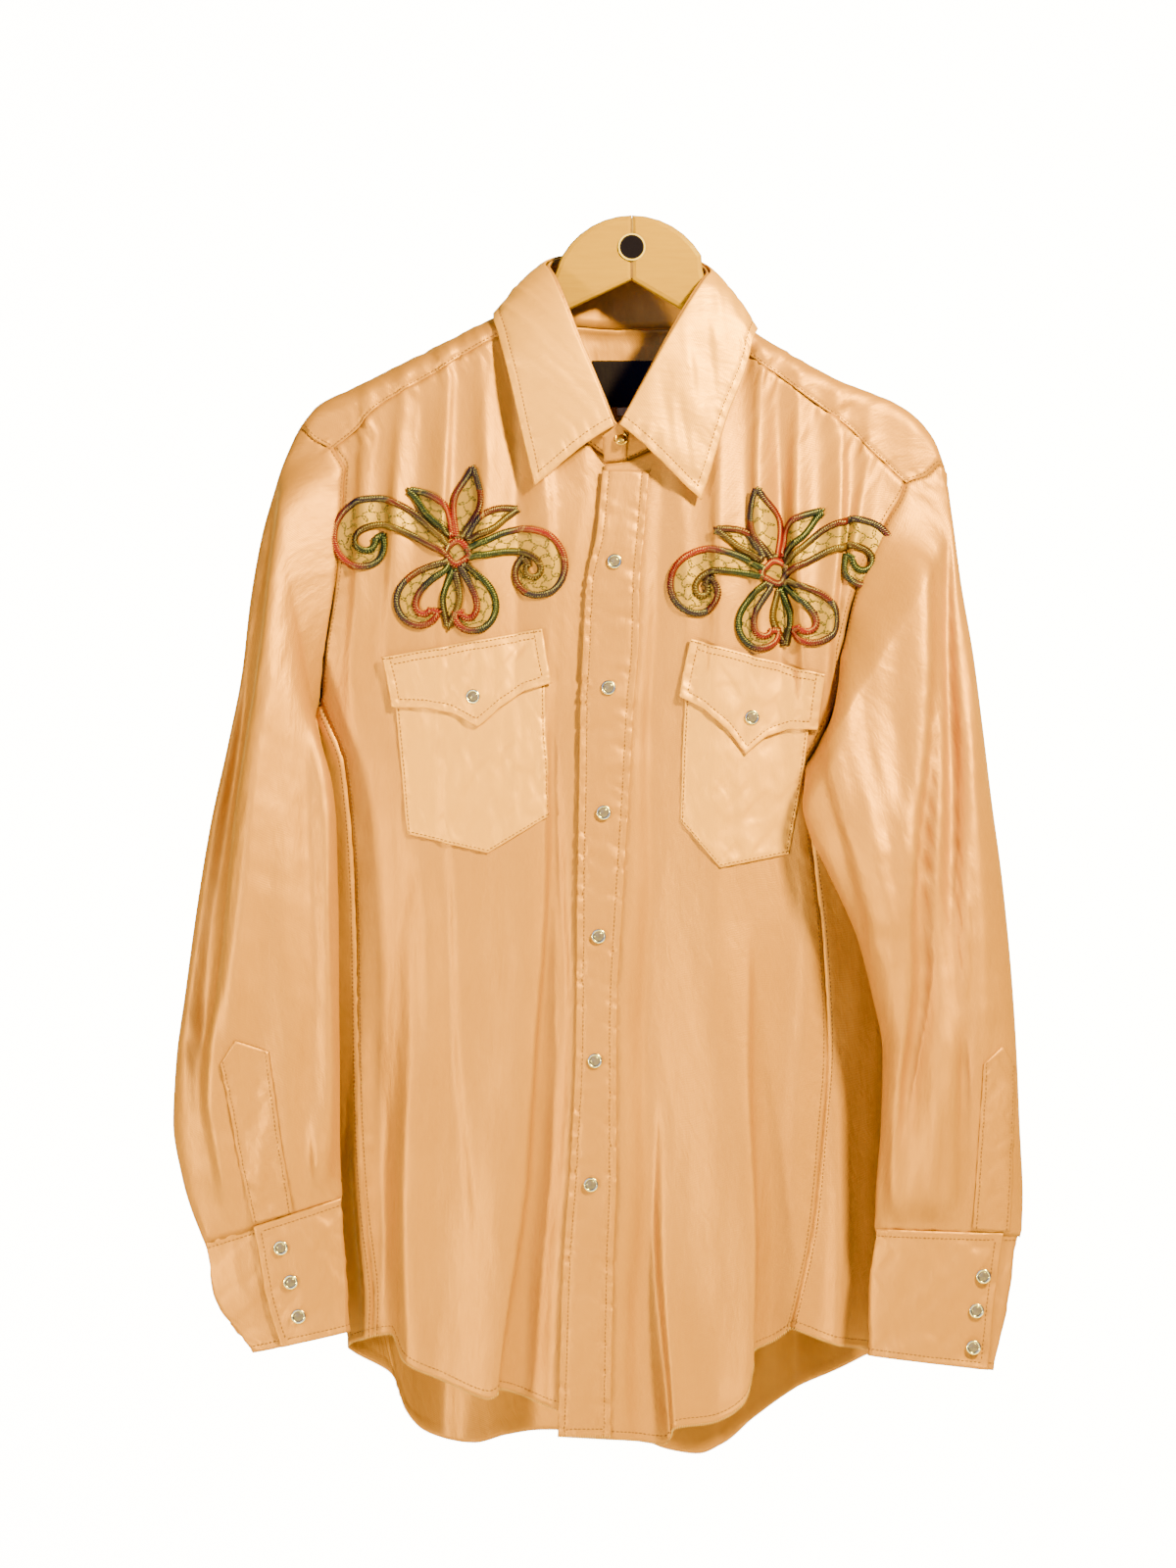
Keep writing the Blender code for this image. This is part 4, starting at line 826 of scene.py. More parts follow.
ROPE_COLOURS = [
    (0.0, (0.05, 0.001, 0.002)), (0.12, (0.009, 0.002, 0.013)), (0.2, (0.05, 0.025, 0.006)),
    (0.3, (0.013, 0.001, 0.003)), (0.4, (0.001, 0.006, 0.004)), (0.5, (0.002, 0.008, 0.007)),
    (0.58, (0.003, 0.003, 0.022)), (0.68, (0.11, 0.0005, 0.0015)),
    (0.78, (0.08, 0.0005, 0.0015)), (0.88, (0.008, 0.003, 0.026)),
]

gold_satin = cloth_material("gold_satin_thread", (0.27, 0.16, 0.05), (0.19, 0.11, 0.03),
                            lustre=0.5)
olive_thread = thread_material("olive_thread", (0.06, 0.045, 0.012), (0.035, 0.027, 0.008))

rope_thread, tree, shader = new_material("variegated_rope_thread")
way = add_node(tree, "ShaderNodeUVMap", uv_map="cloth").outputs[0]
along = add_node(tree, "ShaderNodeSeparateXYZ", {0: way}).outputs[0]
cycle = math_node(tree, "FRACT", math_node(tree, "MULTIPLY", along, ROPE_CYCLES))
ramp = add_node(tree, "ShaderNodeValToRGB", {0: cycle})
stops = ramp.color_ramp.elements
while len(stops) < len(ROPE_COLOURS):
    stops.new(0.5)
for stop, (position, colour) in zip(stops, ROPE_COLOURS):
    stop.position, stop.color = position, (*colour, 1)
glints = add_node(tree, "ShaderNodeMapRange", {"Value": noise(tree, way, 520.0),
                                               "From Min": 0.64, "From Max": 0.72}).outputs[0]
tree.links.new(mix_colour(tree, math_node(tree, "MULTIPLY", glints, 0.75),
                          ramp.outputs[0], (0.4, 0.26, 0.09, 1)),
               shader.inputs["Base Color"])
shader.inputs["Roughness"].default_value = 0.32


def scroll_line(u, v, heading, length, bend_start, bend_end, *widths):
    """Middle line of a scroll that bends ever more, its sideways directions and half widths."""
    steps = np.linspace(0, length, int(length) + 1)
    turn = np.radians(heading + bend_start * steps
                      + (bend_end - bend_start) * steps ** 2 / (2 * length))
    ahead = np.stack([np.cos(turn), np.sin(turn)], axis=1)
    line = np.vstack([np.zeros((1, 2)), np.cumsum((ahead[1:] + ahead[:-1]) / 2, axis=0)])
    beside = np.stack([-np.sin(turn), np.cos(turn)], axis=1)
    half = curve((0, 0.5, 1), widths)(steps / length)
    return line * steps[1] + (u, v), beside, half[:, None]


def add_spray(name):
    """Gold areas, olive rows and the rope outline of one side, as three pieces."""
    centre_x, centre_z, tilt, scale, mirror = SPRAYS[name]
    cosine, sine = math.cos(math.radians(tilt)), math.sin(math.radians(tilt))

    def on_chest(flat, lift):
        u, v = flat[..., 0] * mirror * scale, flat[..., 1] * scale
        x, z = centre_x + u * cosine - v * sine, centre_z + u * sine + v * cosine
        angle = torso_angle(x, z)
        out = torso_normal(angle, z)
        return torso_point(angle, z) + out * lift, out

    areas, ropes, runs = [], [], []
    for row in SCROLLS:
        line, beside, half = scroll_line(*row)
        reach = beside * half
        share = np.linspace(-1, 1, GOLD_COLUMNS)[None, :, None]
        grid = on_chest(line[:, None] + reach[:, None] * share, GOLD_LIFT)[0]
        if grid_normals(grid)[..., 1].mean() > 0:
            grid = grid[:, ::-1]
        areas.append(sheet_object(name + "_gold", grid, GOLD_THICKNESS, gold_satin))
        border = np.vstack([line + reach, (line - reach)[::-1], (line + reach)[:1]])
        ropes.append(np.hstack(on_chest(border, ROPE_LIFT)))
        steps = np.arange(3, len(line) - 4, 0.5)
        drift = np.clip(steps + 2.4 * np.sin(steps * 1.25), 0, len(line) - 1)
        offset = (0.5 * np.sin(steps * 0.62) + 0.15 * np.sin(steps * 1.9 + 1))[:, None]
        middle, sideways = (read_between(drift, range(len(line)), part)
                            for part in (line, reach))
        runs.append(np.hstack(on_chest(middle + sideways * offset, OLIVE_LIFT)))
    bpy.ops.object.select_all(action="DESELECT")
    for area in areas:
        area.select_set(True)
    bpy.context.view_layer.objects.active = areas[0]
    bpy.ops.object.join()
    return [dress(areas[0], "shirt_cloth"),
            add_stitches(name + "_rope", ropes, rope_thread, **ROPE),
            add_stitches(name + "_olive", runs, olive_thread, **OLIVE)]


left_spray, right_spray = (add_spray(name) for name in SPRAYS)

# Fronts. Two panels gathered into the yoke, with a curved hem. The left one runs on under
# the placket, and both fall in long folds that overlap near the hem.

FRONT_COLUMNS = 16
NECKLINE_ROWS, NECK_FINE = 7, 8
UNDERLAP = 2.5
UNDERLAP_WIDTH = 22
RIGHT_EDGE_INSET = 1.5
NECKLINE_LEFT = [(-86, -82), (-84, -100), (-72, -125), (-50, -148), (-26, -167), (-4, -177)]
NECKLINE_RIGHT = [(-19.5, -178), (5, -172), (35, -157), (58, -133), (71, -112), (76, -95)]
ARMHOLE_LEFT = [(-212, -166), (-203.5, -182), (-205, -208), (-209, -258), (-214, -291),
                (-219, -326), (-221, -345)]
ARMHOLE_RIGHT = [(194, -190), (184, -211), (171, -237), (159, -266), (148, -308),
                 (143, -349), (131, -375), (122, -390)]
HEM_LEFT = [(-181, -793), (-170, -791), (-161, -808), (-135, -821), (-103, -834),
            (-92, -829), (-53, -842), (-25, -850)]
HEM_RIGHT = [(-51, -862), (-15, -864), (22, -868), (34, -855), (54.5, -852), (74, -836),
             (83, -804), (100, -796), (112, -787)]


def under_placket(grid):
    """Points of the left front, moved back where they lie below the right one."""
    under = smooth_step((grid[..., 0] - placket.left(grid[..., 2]) + 14) / 12)
    return grid + points(0, UNDERLAP * under, 0)


def centre_edge(neckline, reach, foot):
    """Neckline and centre front, down to the hem at foot."""
    rows = ARMHOLE_ROWS * ARMHOLE_FINE + SIDE_ROWS * SIDE_FINE - NECKLINE_ROWS * NECK_FINE
    heights = np.linspace(neckline[-1][1], foot, rows + 1)[1:]
    centre = np.stack([torso_angle(placket.left(heights) + reach, heights), heights], axis=1)
    return np.vstack([torso_path(neckline, NECKLINE_ROWS * NECK_FINE), centre])


def fill_front(seam, hem, left, right):
    """Front panel inside its edges, given as angles and heights, filled in as x and z."""
    edges = [torso_path(seam, FRONT_COLUMNS * FINE), torso_path(hem, FRONT_COLUMNS * FINE),
             left, right]
    edges = [np.stack([torso_x(*edge.T), edge[:, 1]], axis=1) for edge in edges]
    x, z = np.moveaxis(fill_patch(*edges), -1, 0)
    return torso_point(torso_angle(x, z), z)


def add_front(name, grid, node, side, spray):
    """The panel drawn in under the yoke and sewn at its top, its hem and its side seam."""
    grid = sew(draw_in(grid, top=UNDER_SEAM), top=2.0, **{side: 0.4})
    grid = topstitch(grid, HEM_INSET, edges=["bottom"])
    cut_cloth(name, grid, node, extras=spray, frayed=True,
              rows=[("bottom", HEM_INSET), (side, SIDE_INSET)])


add_front("left_front_panel", under_placket(fill_front(
    YOKE_SEAM_LEFT, HEM_LEFT, side_edge(ARMHOLE_LEFT, SIDE_LEFT),
    centre_edge(NECKLINE_LEFT, UNDERLAP_WIDTH, HEM_LEFT[-1][1]))),
    "front_left", "left", left_spray)
add_front("right_front_panel", fill_front(
    YOKE_SEAM_RIGHT, HEM_RIGHT,
    centre_edge(NECKLINE_RIGHT[::-1], RIGHT_EDGE_INSET, HEM_RIGHT[0][1]),
    side_edge(ARMHOLE_RIGHT, SIDE_RIGHT)),
    "front_right", "right", right_spray)

# Front placket. A straight band of two layers down the right front's edge, topstitched
# along both sides, with the stitches drawing it into small puckers.

BAND = 1.5
PLACKET_LIFT = 2.6
PLACKET_INSET = 5
PLACKET_UNEVENNESS = [(0.45, 6.5, 0.3, 21), (0.5, 30, 1.5, 22)]
PLACKET_CREASE = 2.3


share, z = np.meshgrid(np.linspace(0, 1, 31), np.linspace(PLACKET[0][0], PLACKET[-1][0], 280))
x = placket.left(z) + (placket.right(z) - placket.left(z)) * share
lift = PLACKET_LIFT + unevenness(z, share, PLACKET_UNEVENNESS)
placket_grid = topstitch(front_point(x, z, lift[..., None]), PLACKET_INSET, 0.4)
crease = np.clip(2.6 * ripple(z + 14 * share, 3 * share, 3.2, 2.2, 23) - 0.9, 0, 1)
placket_grid = pressed(placket_grid, PLACKET_CREASE * np.abs(2 * share - 1) ** 1.5 * crease)
cut_cloth("front_placket_band", placket_grid, "front_placket",
          thickness=BAND, frayed=True,
          rows=[("left", PLACKET_INSET), ("right", PLACKET_INSET),
                ("bottom", HEM_INSET, PLACKET_INSET, PLACKET_INSET)])

# Neck. A pointed collar of two layers folds over a stand that is sewn round the neckline and
# closes with one snap. Inside it lie the woven label and a small size tag.

# Collar: where its fold runs and where its outer edge runs, from the left point round the
# back to the right one.
COLLAR = [
    (-12.4, -37, -151, -69, -32, -193),
    (-24, -35, -121, -78, -31, -155),
    (-37, -31, -91, -87, -27, -115),
    (-50, -23, -58, -95, -19, -84),
    (-57.5, -13, -41, -98, -13, -74),
    (-61.5, -3, -34, -98.5, -3, -69.5),
    (-60.5, 9, -31, -97, 9, -71),
    (-46, 27, -26, -84, 26, -80),
    (-3, 40, -25, -3, 45, -90),
    (41, 27, -28, 76, 27, -89),
    (55, 9, -35.5, 88.5, 8, -81),
    (56, -3, -39, 89.5, -4, -80.5),
    (51, -13, -46, 86, -15, -88),
    (40, -22, -63, 80, -21, -111),
    (22, -31, -94, 68, -26, -142),
    (7, -35, -121, 58.5, -30, -172),
    (-9, -37, -150, 49, -33, -203),
]
COLLAR_BULGE = 4.5
COLLAR_INSET, COLLAR_CORNER = 6.5, 4
COLLAR_SIDES = (4, 12)     # rows of the table at the shoulders
STAND_INSET = 2.4
STAND_DROP = 1.0
STAND_TAB_LEFT = (-2, -28, -156)
STAND_TAB_RIGHT = (-21, -31.5, -158)
STAND_LIFT = 0.8
LABEL_LIFT, LABEL_THICKNESS = 2.4, 0.6

left_shoulder, right_shoulder = COLLAR_SIDES
collar_places = np.concatenate([
    np.linspace(0, left_shoulder, NECKLINE_ROWS * NECK_FINE + 1),
    left_shoulder + (right_shoulder - left_shoulder) * neck_steps[1:-1] / neck_steps[-1],
    np.linspace(right_shoulder, len(COLLAR) - 1, NECKLINE_ROWS * NECK_FINE + 1)])
collar_table = np.stack([column(collar_places) for column in index_curves(COLLAR)], axis=1)
collar_fold, collar_edge = collar_table[:, :3], collar_table[:, 3:]
collar_out = unit(collar_fold * (1, 1, 0) + (3, 0, 0))
collar_down = np.linspace(0, 1, 49)[:, None, None]
collar_bulge = COLLAR_BULGE * np.sin(np.pi * collar_down) ** 0.8
collar_grid = (collar_fold + (collar_edge - collar_fold) * collar_down
               + (collar_out * 0.6 + (0, 0, 0.8) * (1 - collar_down)) * collar_bulge)
collar_grid = collar_grid[:, ::-1]
down, around = beside_edge(collar_grid, "top")
buckle = (0.9 * ripple(around, down, 16, 22, 61)
          + 0.8 * ripple(around + down, down - around, 9, 34, 62))
collar_grid = pressed(collar_grid, -buckle * np.sin(np.pi * collar_down[..., 0]))
collar_grid = topstitch(collar_grid, COLLAR_INSET, 0.8)
# The collar is in the lighter satin copy, whose painted light makes it brighter.
cut_cloth("collar_leaf", collar_grid, "collar", thickness=BAND,
          material=satin_painted_light,
          rows=[("bottom", COLLAR_INSET, COLLAR_CORNER, COLLAR_CORNER),
                ("left", COLLAR_INSET, 0, COLLAR_CORNER),
                ("right", COLLAR_INSET, 0, COLLAR_CORNER)])

left_foot, right_foot = (torso_point(*torso_path(side, NECKLINE_ROWS * NECK_FINE).T)[::-1]
                         for side in (NECKLINE_LEFT, NECKLINE_RIGHT))
neckline_foot = under_placket(np.vstack([
    left_foot, torso_point(*yoke_angle(neck_places))[1:-1], right_foot]))
stand_top = collar_fold - collar_out * STAND_INSET - (0, 0, STAND_DROP)
tabs = smooth_step(np.abs(np.linspace(-1, 1, len(stand_top))) * 40 - 39)[:, None]
tab_ends = np.where(np.arange(len(stand_top))[:, None] < len(stand_top) / 2,
                    STAND_TAB_LEFT, STAND_TAB_RIGHT)
stand_top = stand_top * (1 - tabs) + tab_ends * tabs
stand_foot = neckline_foot + unit(stand_top - neckline_foot) * STAND_LIFT
stand_down = np.linspace(0, 1, 9)[:, None, None]
stand_grid = stand_top + (stand_foot - stand_top) * stand_down
cut_cloth("collar_band", stand_grid[:, ::-1], "collar_stand",
          thickness=BAND, rows=[("bottom", 2)])


def add_label(name, box, node, material, slot):
    """Woven piece sewn on the inner face of the back."""
    left, right, top, bottom = box
    x, z = np.meshgrid(np.linspace(right, left, 30), np.linspace(top, bottom, 20))
    grid = torso_point(torso_angle(x, z, BACK), z) - (0, LABEL_LIFT, 0)
    cut_cloth(name, grid, node, thickness=LABEL_THICKNESS,
              material=material, slot=slot)


black_weave = cloth_material("label_black", (0.004, 0.003, 0.014), (0.007, 0.005, 0.024),
                             gloss=0.02)
white_weave = cloth_material("tag_white", (0.5, 0.48, 0.42), (0.38, 0.36, 0.31))
add_label("neck_label_weave", (-28.3, 22, -101, -134), "neck_label",
          black_weave, "label_cloth")
add_label("size_tag_weave", (-10.3, -1.4, -134.5, -140), "size_tag",
          white_weave, "tag_cloth")

# Sleeves. Long tubes set into the armholes, hanging flat with deep overlapping folds down
# to the cuffs. A pointed band covers the opening above each cuff.

SLEEVE_LIFT = 0.4
SLEEVE_RINGS, CAP_ROWS = 190, 11
# Sections from the armhole down: the outer side, the inner side, and how far the cloth
# swells to the front and to the back.
SLEEVE_LEFT = [
    (-251, -3, -188, -223, -8, -362, 25, 30),
    (-262, -7, -228, -217, -20, -382, 27, 22),
    (-270, -12, -275, -211, -30, -404, 28, 17),
    (-275.5, -18, -325, -208, -36, -430, 27, 17),
    (-285, -24, -375, -207, -40, -462, 26, 16),
    (-297, -30, -432, -206, -43, -495, 25, 15),
    (-306, -34, -488, -205.7, -45, -530, 24, 14),
    (-314, -37, -548, -205.4, -46, -570, 22, 14),
    (-320.5, -39, -598, -205, -46, -610, 20, 13),
    (-322.5, -40, -640, -205, -46, -645, 18, 12),
    (-316, -41, -680, -204.5, -45, -672, 14, 11),
    (-302, -41, -724.2, -203.5, -43, -692.7, 9, 9),
]
SLEEVE_RIGHT = [
    (228, -5, -222, 121, -41, -403, 26, 24),
    (233, -10, -262, 119.4, -47, -418, 26, 20),
    (241, -18, -312, 124, -50, -438, 26, 17),
    (247, -26, -362, 133, -54, -457, 25, 16),
    (253, -33, -415, 145, -56, -482, 24, 15),
    (260, -39, -470, 157, -58, -510, 23, 15),
    (266.5, -44, -540, 167, -58, -548, 21, 14),
    (269.5, -48, -590, 175, -58, -592, 19, 13),
    (271.5, -50, -640, 174, -58, -640, 17, 12),
    (273.8, -50, -690, 170.3, -56, -690, 13, 11),
    (273, -50, -717.3, 169.7, -53, -713.7, 9, 9),
]
SLEEVE_FULLNESS = 0.85
SLEEVE_BACK_SPREAD = 0.8
SLEEVE_BACK_EASE = 8
SLEEVE_HANG = 3
SLEEVE_LEFT_FOLDS = [
    (-240, -165, -264, -360, -291, -585, 3, 9, 8, 4.6, 24),
    (-247, -165, -271, -360, -298, -585, -2, -6, -6, 10, 4.6),
    (-250, -180, -276, -360, -302, -560, -2, -5, -3, 12, 5),
    (-247, -300, -262, -420, -276, -540, 0, 3, 3, 4, 9),
    (-233, -180, -224, -260, -213, -350, 3, 6, 4, 9, 6),
    (-228, -300, -226, -420, -222, -600, -1, -3, -2, 10, 7),
    (-213, -330, -213, -450, -212, -660, 2, 3, 3, 8, 4.6),
    (-252, -400, -246, -520, -250, -640, 0, 2, 1, 9, 14),
    (-228, -520, -237, -600, -241, -700, 0, 1.5, 2, 9, 6),
    (-306, -560, -292, -640, -280, -700, 0, 5, 4, 6, 10),
    (-262, -640, -262, -680, -262, -715, 0, 3, 4, 5, 5),
    (-222, -620, -220, -670, -222, -705, 0, 4, 3, 5, 6),
    (-292, -640, -288, -690, -285, -722, 0, 3, 4, 5, 5),
]
SLEEVE_RIGHT_FOLDS = [
    (203, -190, 206, -310, 192, -450, 4, 9, 7, 26, 4.8),
    (209, -190, 212, -310, 198, -450, -2, -5, -4, 5, 8),
    (216, -200, 217, -320, 208, -470, 2, 4, 3, 6, 5),
    (221, -210, 222, -380, 226, -600, -6, -9, -6, 6, 6),
    (237, -260, 240, -380, 244, -560, 1, 4, 3, 7, 10),
    (190, -450, 191, -530, 181, -610, 6, 7, 6, 18, 4.6),
    (200, -460, 201, -530, 194, -620, -4, -6, -4, 5, 8),
    (231, -450, 226, -582, 218, -714, 2, 7, 6, 14, 4.6),
    (208, -560, 208, -640, 207, -711, 1, 6, 5, 10, 4.6),
    (196, -600, 196, -650, 194, -705, 0, 3, 4, 7, 5),
    (182, -620, 184, -660, 184, -705, 0, 3, 4, 5, 6),
    (160, -240, 152, -310, 146, -370, 2, 5, 3, 9, 10),
    (176, -220, 172, -300, 172, -400, 1, 4, 3, 10, 6),
    (140, -390, 150, -430, 168, -500, 3, 5, 3, 6, 10),
    (152, -360, 162, -420, 178, -500, 2, 5, 3, 8, 4),
    (172, -300, 178, -360, 188, -430, -1, -4, -2, 9, 7),
]


def armhole_loop(end, front, back):
    """Closed armhole in 3-D: shoulder tip, front, underarm, back."""
    tip = np.stack(yoke_angle(yoke_end(end)), axis=1)
    turn = YOKE_FRONT_ROWS * FINE
    front = torso_path(front, ARMHOLE_ROWS * FINE)
    back = torso_path(back, ARMHOLE_ROWS * FINE)
    places = np.vstack([tip[turn:0:-1], front, back[-2:0:-1], tip[:turn:-1]])
    loop = lifted_point(places[:, 0], places[:, 1], SLEEVE_LIFT)
    behind = smooth_step(loop[:, 1] / SLEEVE_BACK_EASE)
    return loop + points(np.sign(loop[:, 0]) * SLEEVE_LIFT * behind, 0, 0)


def across_angle(across):
    """Angle in front whose point lies this far from the inner to the outer side."""
    return np.arccos(signed_power(np.clip(2 * across - 1, -1, 1), 1 / SLEEVE_FULLNESS))


def loop_angles(loop):
    """Angle of each armhole station: 0 at the tip, pi at the underarm."""
    under = (YOKE_FRONT_ROWS + ARMHOLE_ROWS) * FINE
    lengths = way_along(np.vstack([loop, loop[:1]]))
    half, whole = lengths[under], lengths[-1]
    behind = np.clip((lengths[:-1] - half) / (whole - half), 0, 1)
    return np.where(lengths[:-1] <= half, np.pi * lengths[:-1] / half,
                    2 * np.pi - across_angle(behind ** SLEEVE_BACK_SPREAD))


class Tube:
    """Flattened tube round an arm, worked out from a table of its sections."""

    def __init__(self, table, folds=()):
        self.curves = index_curves(table)
        self.folds = folds
        self.last = len(table) - 1

    def section(self, place, level):
        """Place and level as one shape, the outer and inner side there, and what follows."""
        place, level = np.broadcast_arrays(np.asarray(place, float), np.asarray(level, float))
        columns = [column(level) for column in self.curves]
        return place, level, points(*columns[:3]), points(*columns[3:6]), columns[6:]


class Sleeve(Tube):
    """Tube below an armhole; its angle is 0 on the outer side and goes round by the front."""

    def point(self, angle, ring):
        angle, ring, outer, inner, depths = self.section(angle, ring)
        across = (1 + signed_power(np.cos(angle), SLEEVE_FULLNESS)) / 2
        place = inner + (outer - inner) * across[..., None]
        x, y, z = np.moveaxis(place, -1, 0)
        swell = np.abs(np.sin(angle)) ** SLEEVE_FULLNESS
        fade = smooth_step((self.last - ring) / 1.2)
        rise, lean = relief(self.folds, x, z)
        soft = 1.2 * ripple(x, z, 20, 110, 31) + 0.45 * ripple(x + z, z - x, 16, 16, 32)
        near = np.minimum(1, 1.5 * swell)
        front = y - depths[0] * swell - (rise + soft) * fade * near
        back = y + depths[1] * swell * (0.4 + 0.6 * across) + soft * fade * near
        in_front = np.sin(angle) > 0
        return points(x + np.where(in_front, lean * fade * near, 0),
                      np.where(in_front, front, back), z)

    def normal(self, angle, ring):
        step = 0.02
        along = self.point(angle, ring + step) - self.point(angle, ring - step)
        round_ = self.point(angle + step, ring) - self.point(angle - step, ring)
        normal = unit(np.cross(round_, along))
        return np.where(normal[..., 1:2] < 0, normal, -normal)

    def find(self, x, z):
        """Angle and ring of the front point at x and z."""
        high, low = np.zeros_like(x), np.full_like(x, self.last)
        for _ in range(30):
            ring = (high + low) / 2
            inner, outer = self.curves[3](ring), self.curves[0](ring)
            angle = across_angle((x - inner) / (outer - inner))
            above = self.point(angle, ring)[..., 2] > z
            high, low = np.where(above, ring, high), np.where(above, low, ring)
        return angle, ring

    def lifted(self, x, z, lift):
        angle, ring = self.find(x, z)
        return self.point(angle, ring) + self.normal(angle, ring) * lift


def add_sleeve(name, sleeve, loop, node, right, hang=0):
    """Behind the arm the cloth hangs straight from the armhole down to the ring hang."""
    angles = loop_angles(loop)
    rings = np.linspace(0, sleeve.last, SLEEVE_RINGS)[:, None]
    body = sleeve.point(angles[None, :], rings)
    if hang:
        share = ((rings + 1) / (hang + 1))[..., None]
        line = loop[None] * (1 - share) + sleeve.point(angles, hang)[None] * share
        hung = (smooth_step(-2 * np.sin(angles))[None, :] * (rings < hang))[..., None]
        body = body * (1 - hung) + line * hung
    steps = np.linspace(0, 1, CAP_ROWS + 1)[:-1, None, None]
    cap = smooth_run(steps, loop, (body[0] - loop) * 0.9, body[0],
                     (body[1] - body[0]) / (rings[1, 0] - rings[0, 0]))
    grid = draw_in(np.vstack([cap, body]), top=UNDER_SEAM, bottom=2 * UNDER_SEAM)
    if right:
        grid = grid[:, ::-1]
    grid = sew(grid, closed=True, top=0.8, bottom=1.2)
    cut_cloth(name, grid, node, closed=True,
              rows=[("top", 2.5)])


left_sleeve = Sleeve(SLEEVE_LEFT, SLEEVE_LEFT_FOLDS)
right_sleeve = Sleeve(SLEEVE_RIGHT, SLEEVE_RIGHT_FOLDS)
add_sleeve("left_sleeve_tube", left_sleeve,
           armhole_loop(YOKE_END_LEFT, ARMHOLE_LEFT, ARMHOLE_BACK_LEFT), "sleeve_left",
           right=False)
add_sleeve("right_sleeve_tube", right_sleeve,
           armhole_loop(YOKE_END_RIGHT, ARMHOLE_RIGHT, ARMHOLE_BACK_RIGHT), "sleeve_right",
           right=True, hang=SLEEVE_HANG)

SLEEVE_PLACKET_LEFT = {"tip": (-275, -582), "left": [(-285, -598), (-277, -655), (-266, -711)],
                       "right": [(-254, -590), (-246, -655), (-238, -703)]}
SLEEVE_PLACKET_RIGHT = {"tip": (258, -586), "left": [(245, -598), (241.5, -655), (238, -714)],
                        "right": [(267, -601), (266, -657), (264, -716)]}


STRIP_LIFT, STRIP_INSET = 1.8, 2.5
STRIP_ROWS, STRIP_COLUMNS, PEAK_ROWS = 60, 17, 14


def crumple(grid, depth, size, seed):
    """Shallow dents into the cloth that slant both ways and fade out near its ends."""
    x, z = grid[..., 0], grid[..., 2]
    dents = (np.clip(2.2 * ripple(x + 0.6 * z, z - 0.4 * x, size, 2.2 * size, seed), 0, 1)
             + np.clip(2.2 * ripple(x - 0.8 * z, z + 0.5 * x, 0.8 * size, 2 * size, seed + 1),
                       0, 1))
    fade = smooth_step(from_edge(grid, "top") / 10) * smooth_step(from_edge(grid, "bottom") / 10)
    return pressed(grid, depth * dents * fade)


def add_sleeve_placket(name, sleeve, outline, node):
    """Band on the sleeve with a pointed top."""
    lefts, rights = (polyline(outline[side], STRIP_ROWS) for side in ("left", "right"))
    share = np.linspace(0, 1, STRIP_COLUMNS)[None, :, None]
    places = lefts[:, None] * (1 - share) + rights[:, None] * share
    peak = np.asarray(outline["tip"]) - (lefts[0] + rights[0]) / 2
    peak_fade = np.clip(1 - np.arange(STRIP_ROWS + 1) / PEAK_ROWS, 0, 1)[:, None, None]
    places = places + peak * (1 - np.abs(2 * share - 1)) * peak_fade
    grid = sleeve.lifted(places[..., 0], places[..., 1], STRIP_LIFT)
    grid = topstitch(grid, STRIP_INSET, 0.5, edges=("left", "right"))
    cut_cloth(name, crumple(grid, 0.6, 5, 101), node,
              rows=[("left", STRIP_INSET), ("right", STRIP_INSET)])


add_sleeve_placket("left_sleeve_band", left_sleeve, SLEEVE_PLACKET_LEFT,
                   "sleeve_placket_left")
add_sleeve_placket("right_sleeve_band", right_sleeve, SLEEVE_PLACKET_RIGHT,
                   "sleeve_placket_right")

# Cuffs. Bands of two layers round the wrists, topstitched all round, whose end laps over its
# start and closes with three snaps.

# Sections as the sleeves have them, and how far across the front the lap ends.
CUFF_LEFT = [
    (-302, -41, -724.8, -203.5, -43, -693.3, 0.63),
    (-296, -41, -764, -200, -43, -740, 0.61),
    (-269, -41, -803, -197, -43, -787, 0.68),
]
CUFF_RIGHT = [
    (273, -50, -717.9, 169.7, -53, -714.3, 0.87),
    (267, -50, -762, 164.5, -53, -758, 0.87),
    (255, -50, -814, 163.5, -53, -803, 0.93),
]
CUFF_DEPTH = 9.5
CUFF_LAP = math.radians(28)
CUFF_LAP_GAP = 2.7
CUFF_INSET = 5
CUFF_UNEVENNESS = [(0.5, 0.03, 1.5, 41), (0.4, 0.08, 0.5, 42)]


class Cuff(Tube):
    """Band round the wrist whose end laps over its start on the front."""

    def point(self, turn, level, inset):
        """turn runs from the lap's end over the inner side round to under the lap."""
        turn, level, outer, inner, lap_ends = self.section(turn, level)
        angle = across_angle(lap_ends[0]) + turn * (2 * np.pi + CUFF_LAP)
        inset = CUFF_LAP_GAP * turn + inset
        shrink = 1 - 2 * inset / np.linalg.norm(outer - inner, axis=-1)
        along = signed_power(np.cos(angle), SLEEVE_FULLNESS) * shrink
        place = inner + (outer - inner) * ((1 + along) / 2)[..., None]
        depth = (CUFF_DEPTH - inset) * signed_power(np.sin(angle), SLEEVE_FULLNESS)
        return place - points(0, depth, 0)


def add_cuff(name, cuff, node, right):
    turns, levels = np.linspace(0, 1, 190)[None, :], np.linspace(0, cuff.last, 48)[:, None]
    grid = cuff.point(turns, levels, -unevenness(turns, levels, CUFF_UNEVENNESS))
    if right:
        grid = grid[:, ::-1]
    grid = crumple(topstitch(grid, CUFF_INSET, 0.6, edges=ALL_ROUND), 0.7, 13, 103)
    cut_cloth(name, grid, node, thickness=BAND,
              rows=[(edge, CUFF_INSET, CUFF_INSET, CUFF_INSET) for edge in ALL_ROUND])


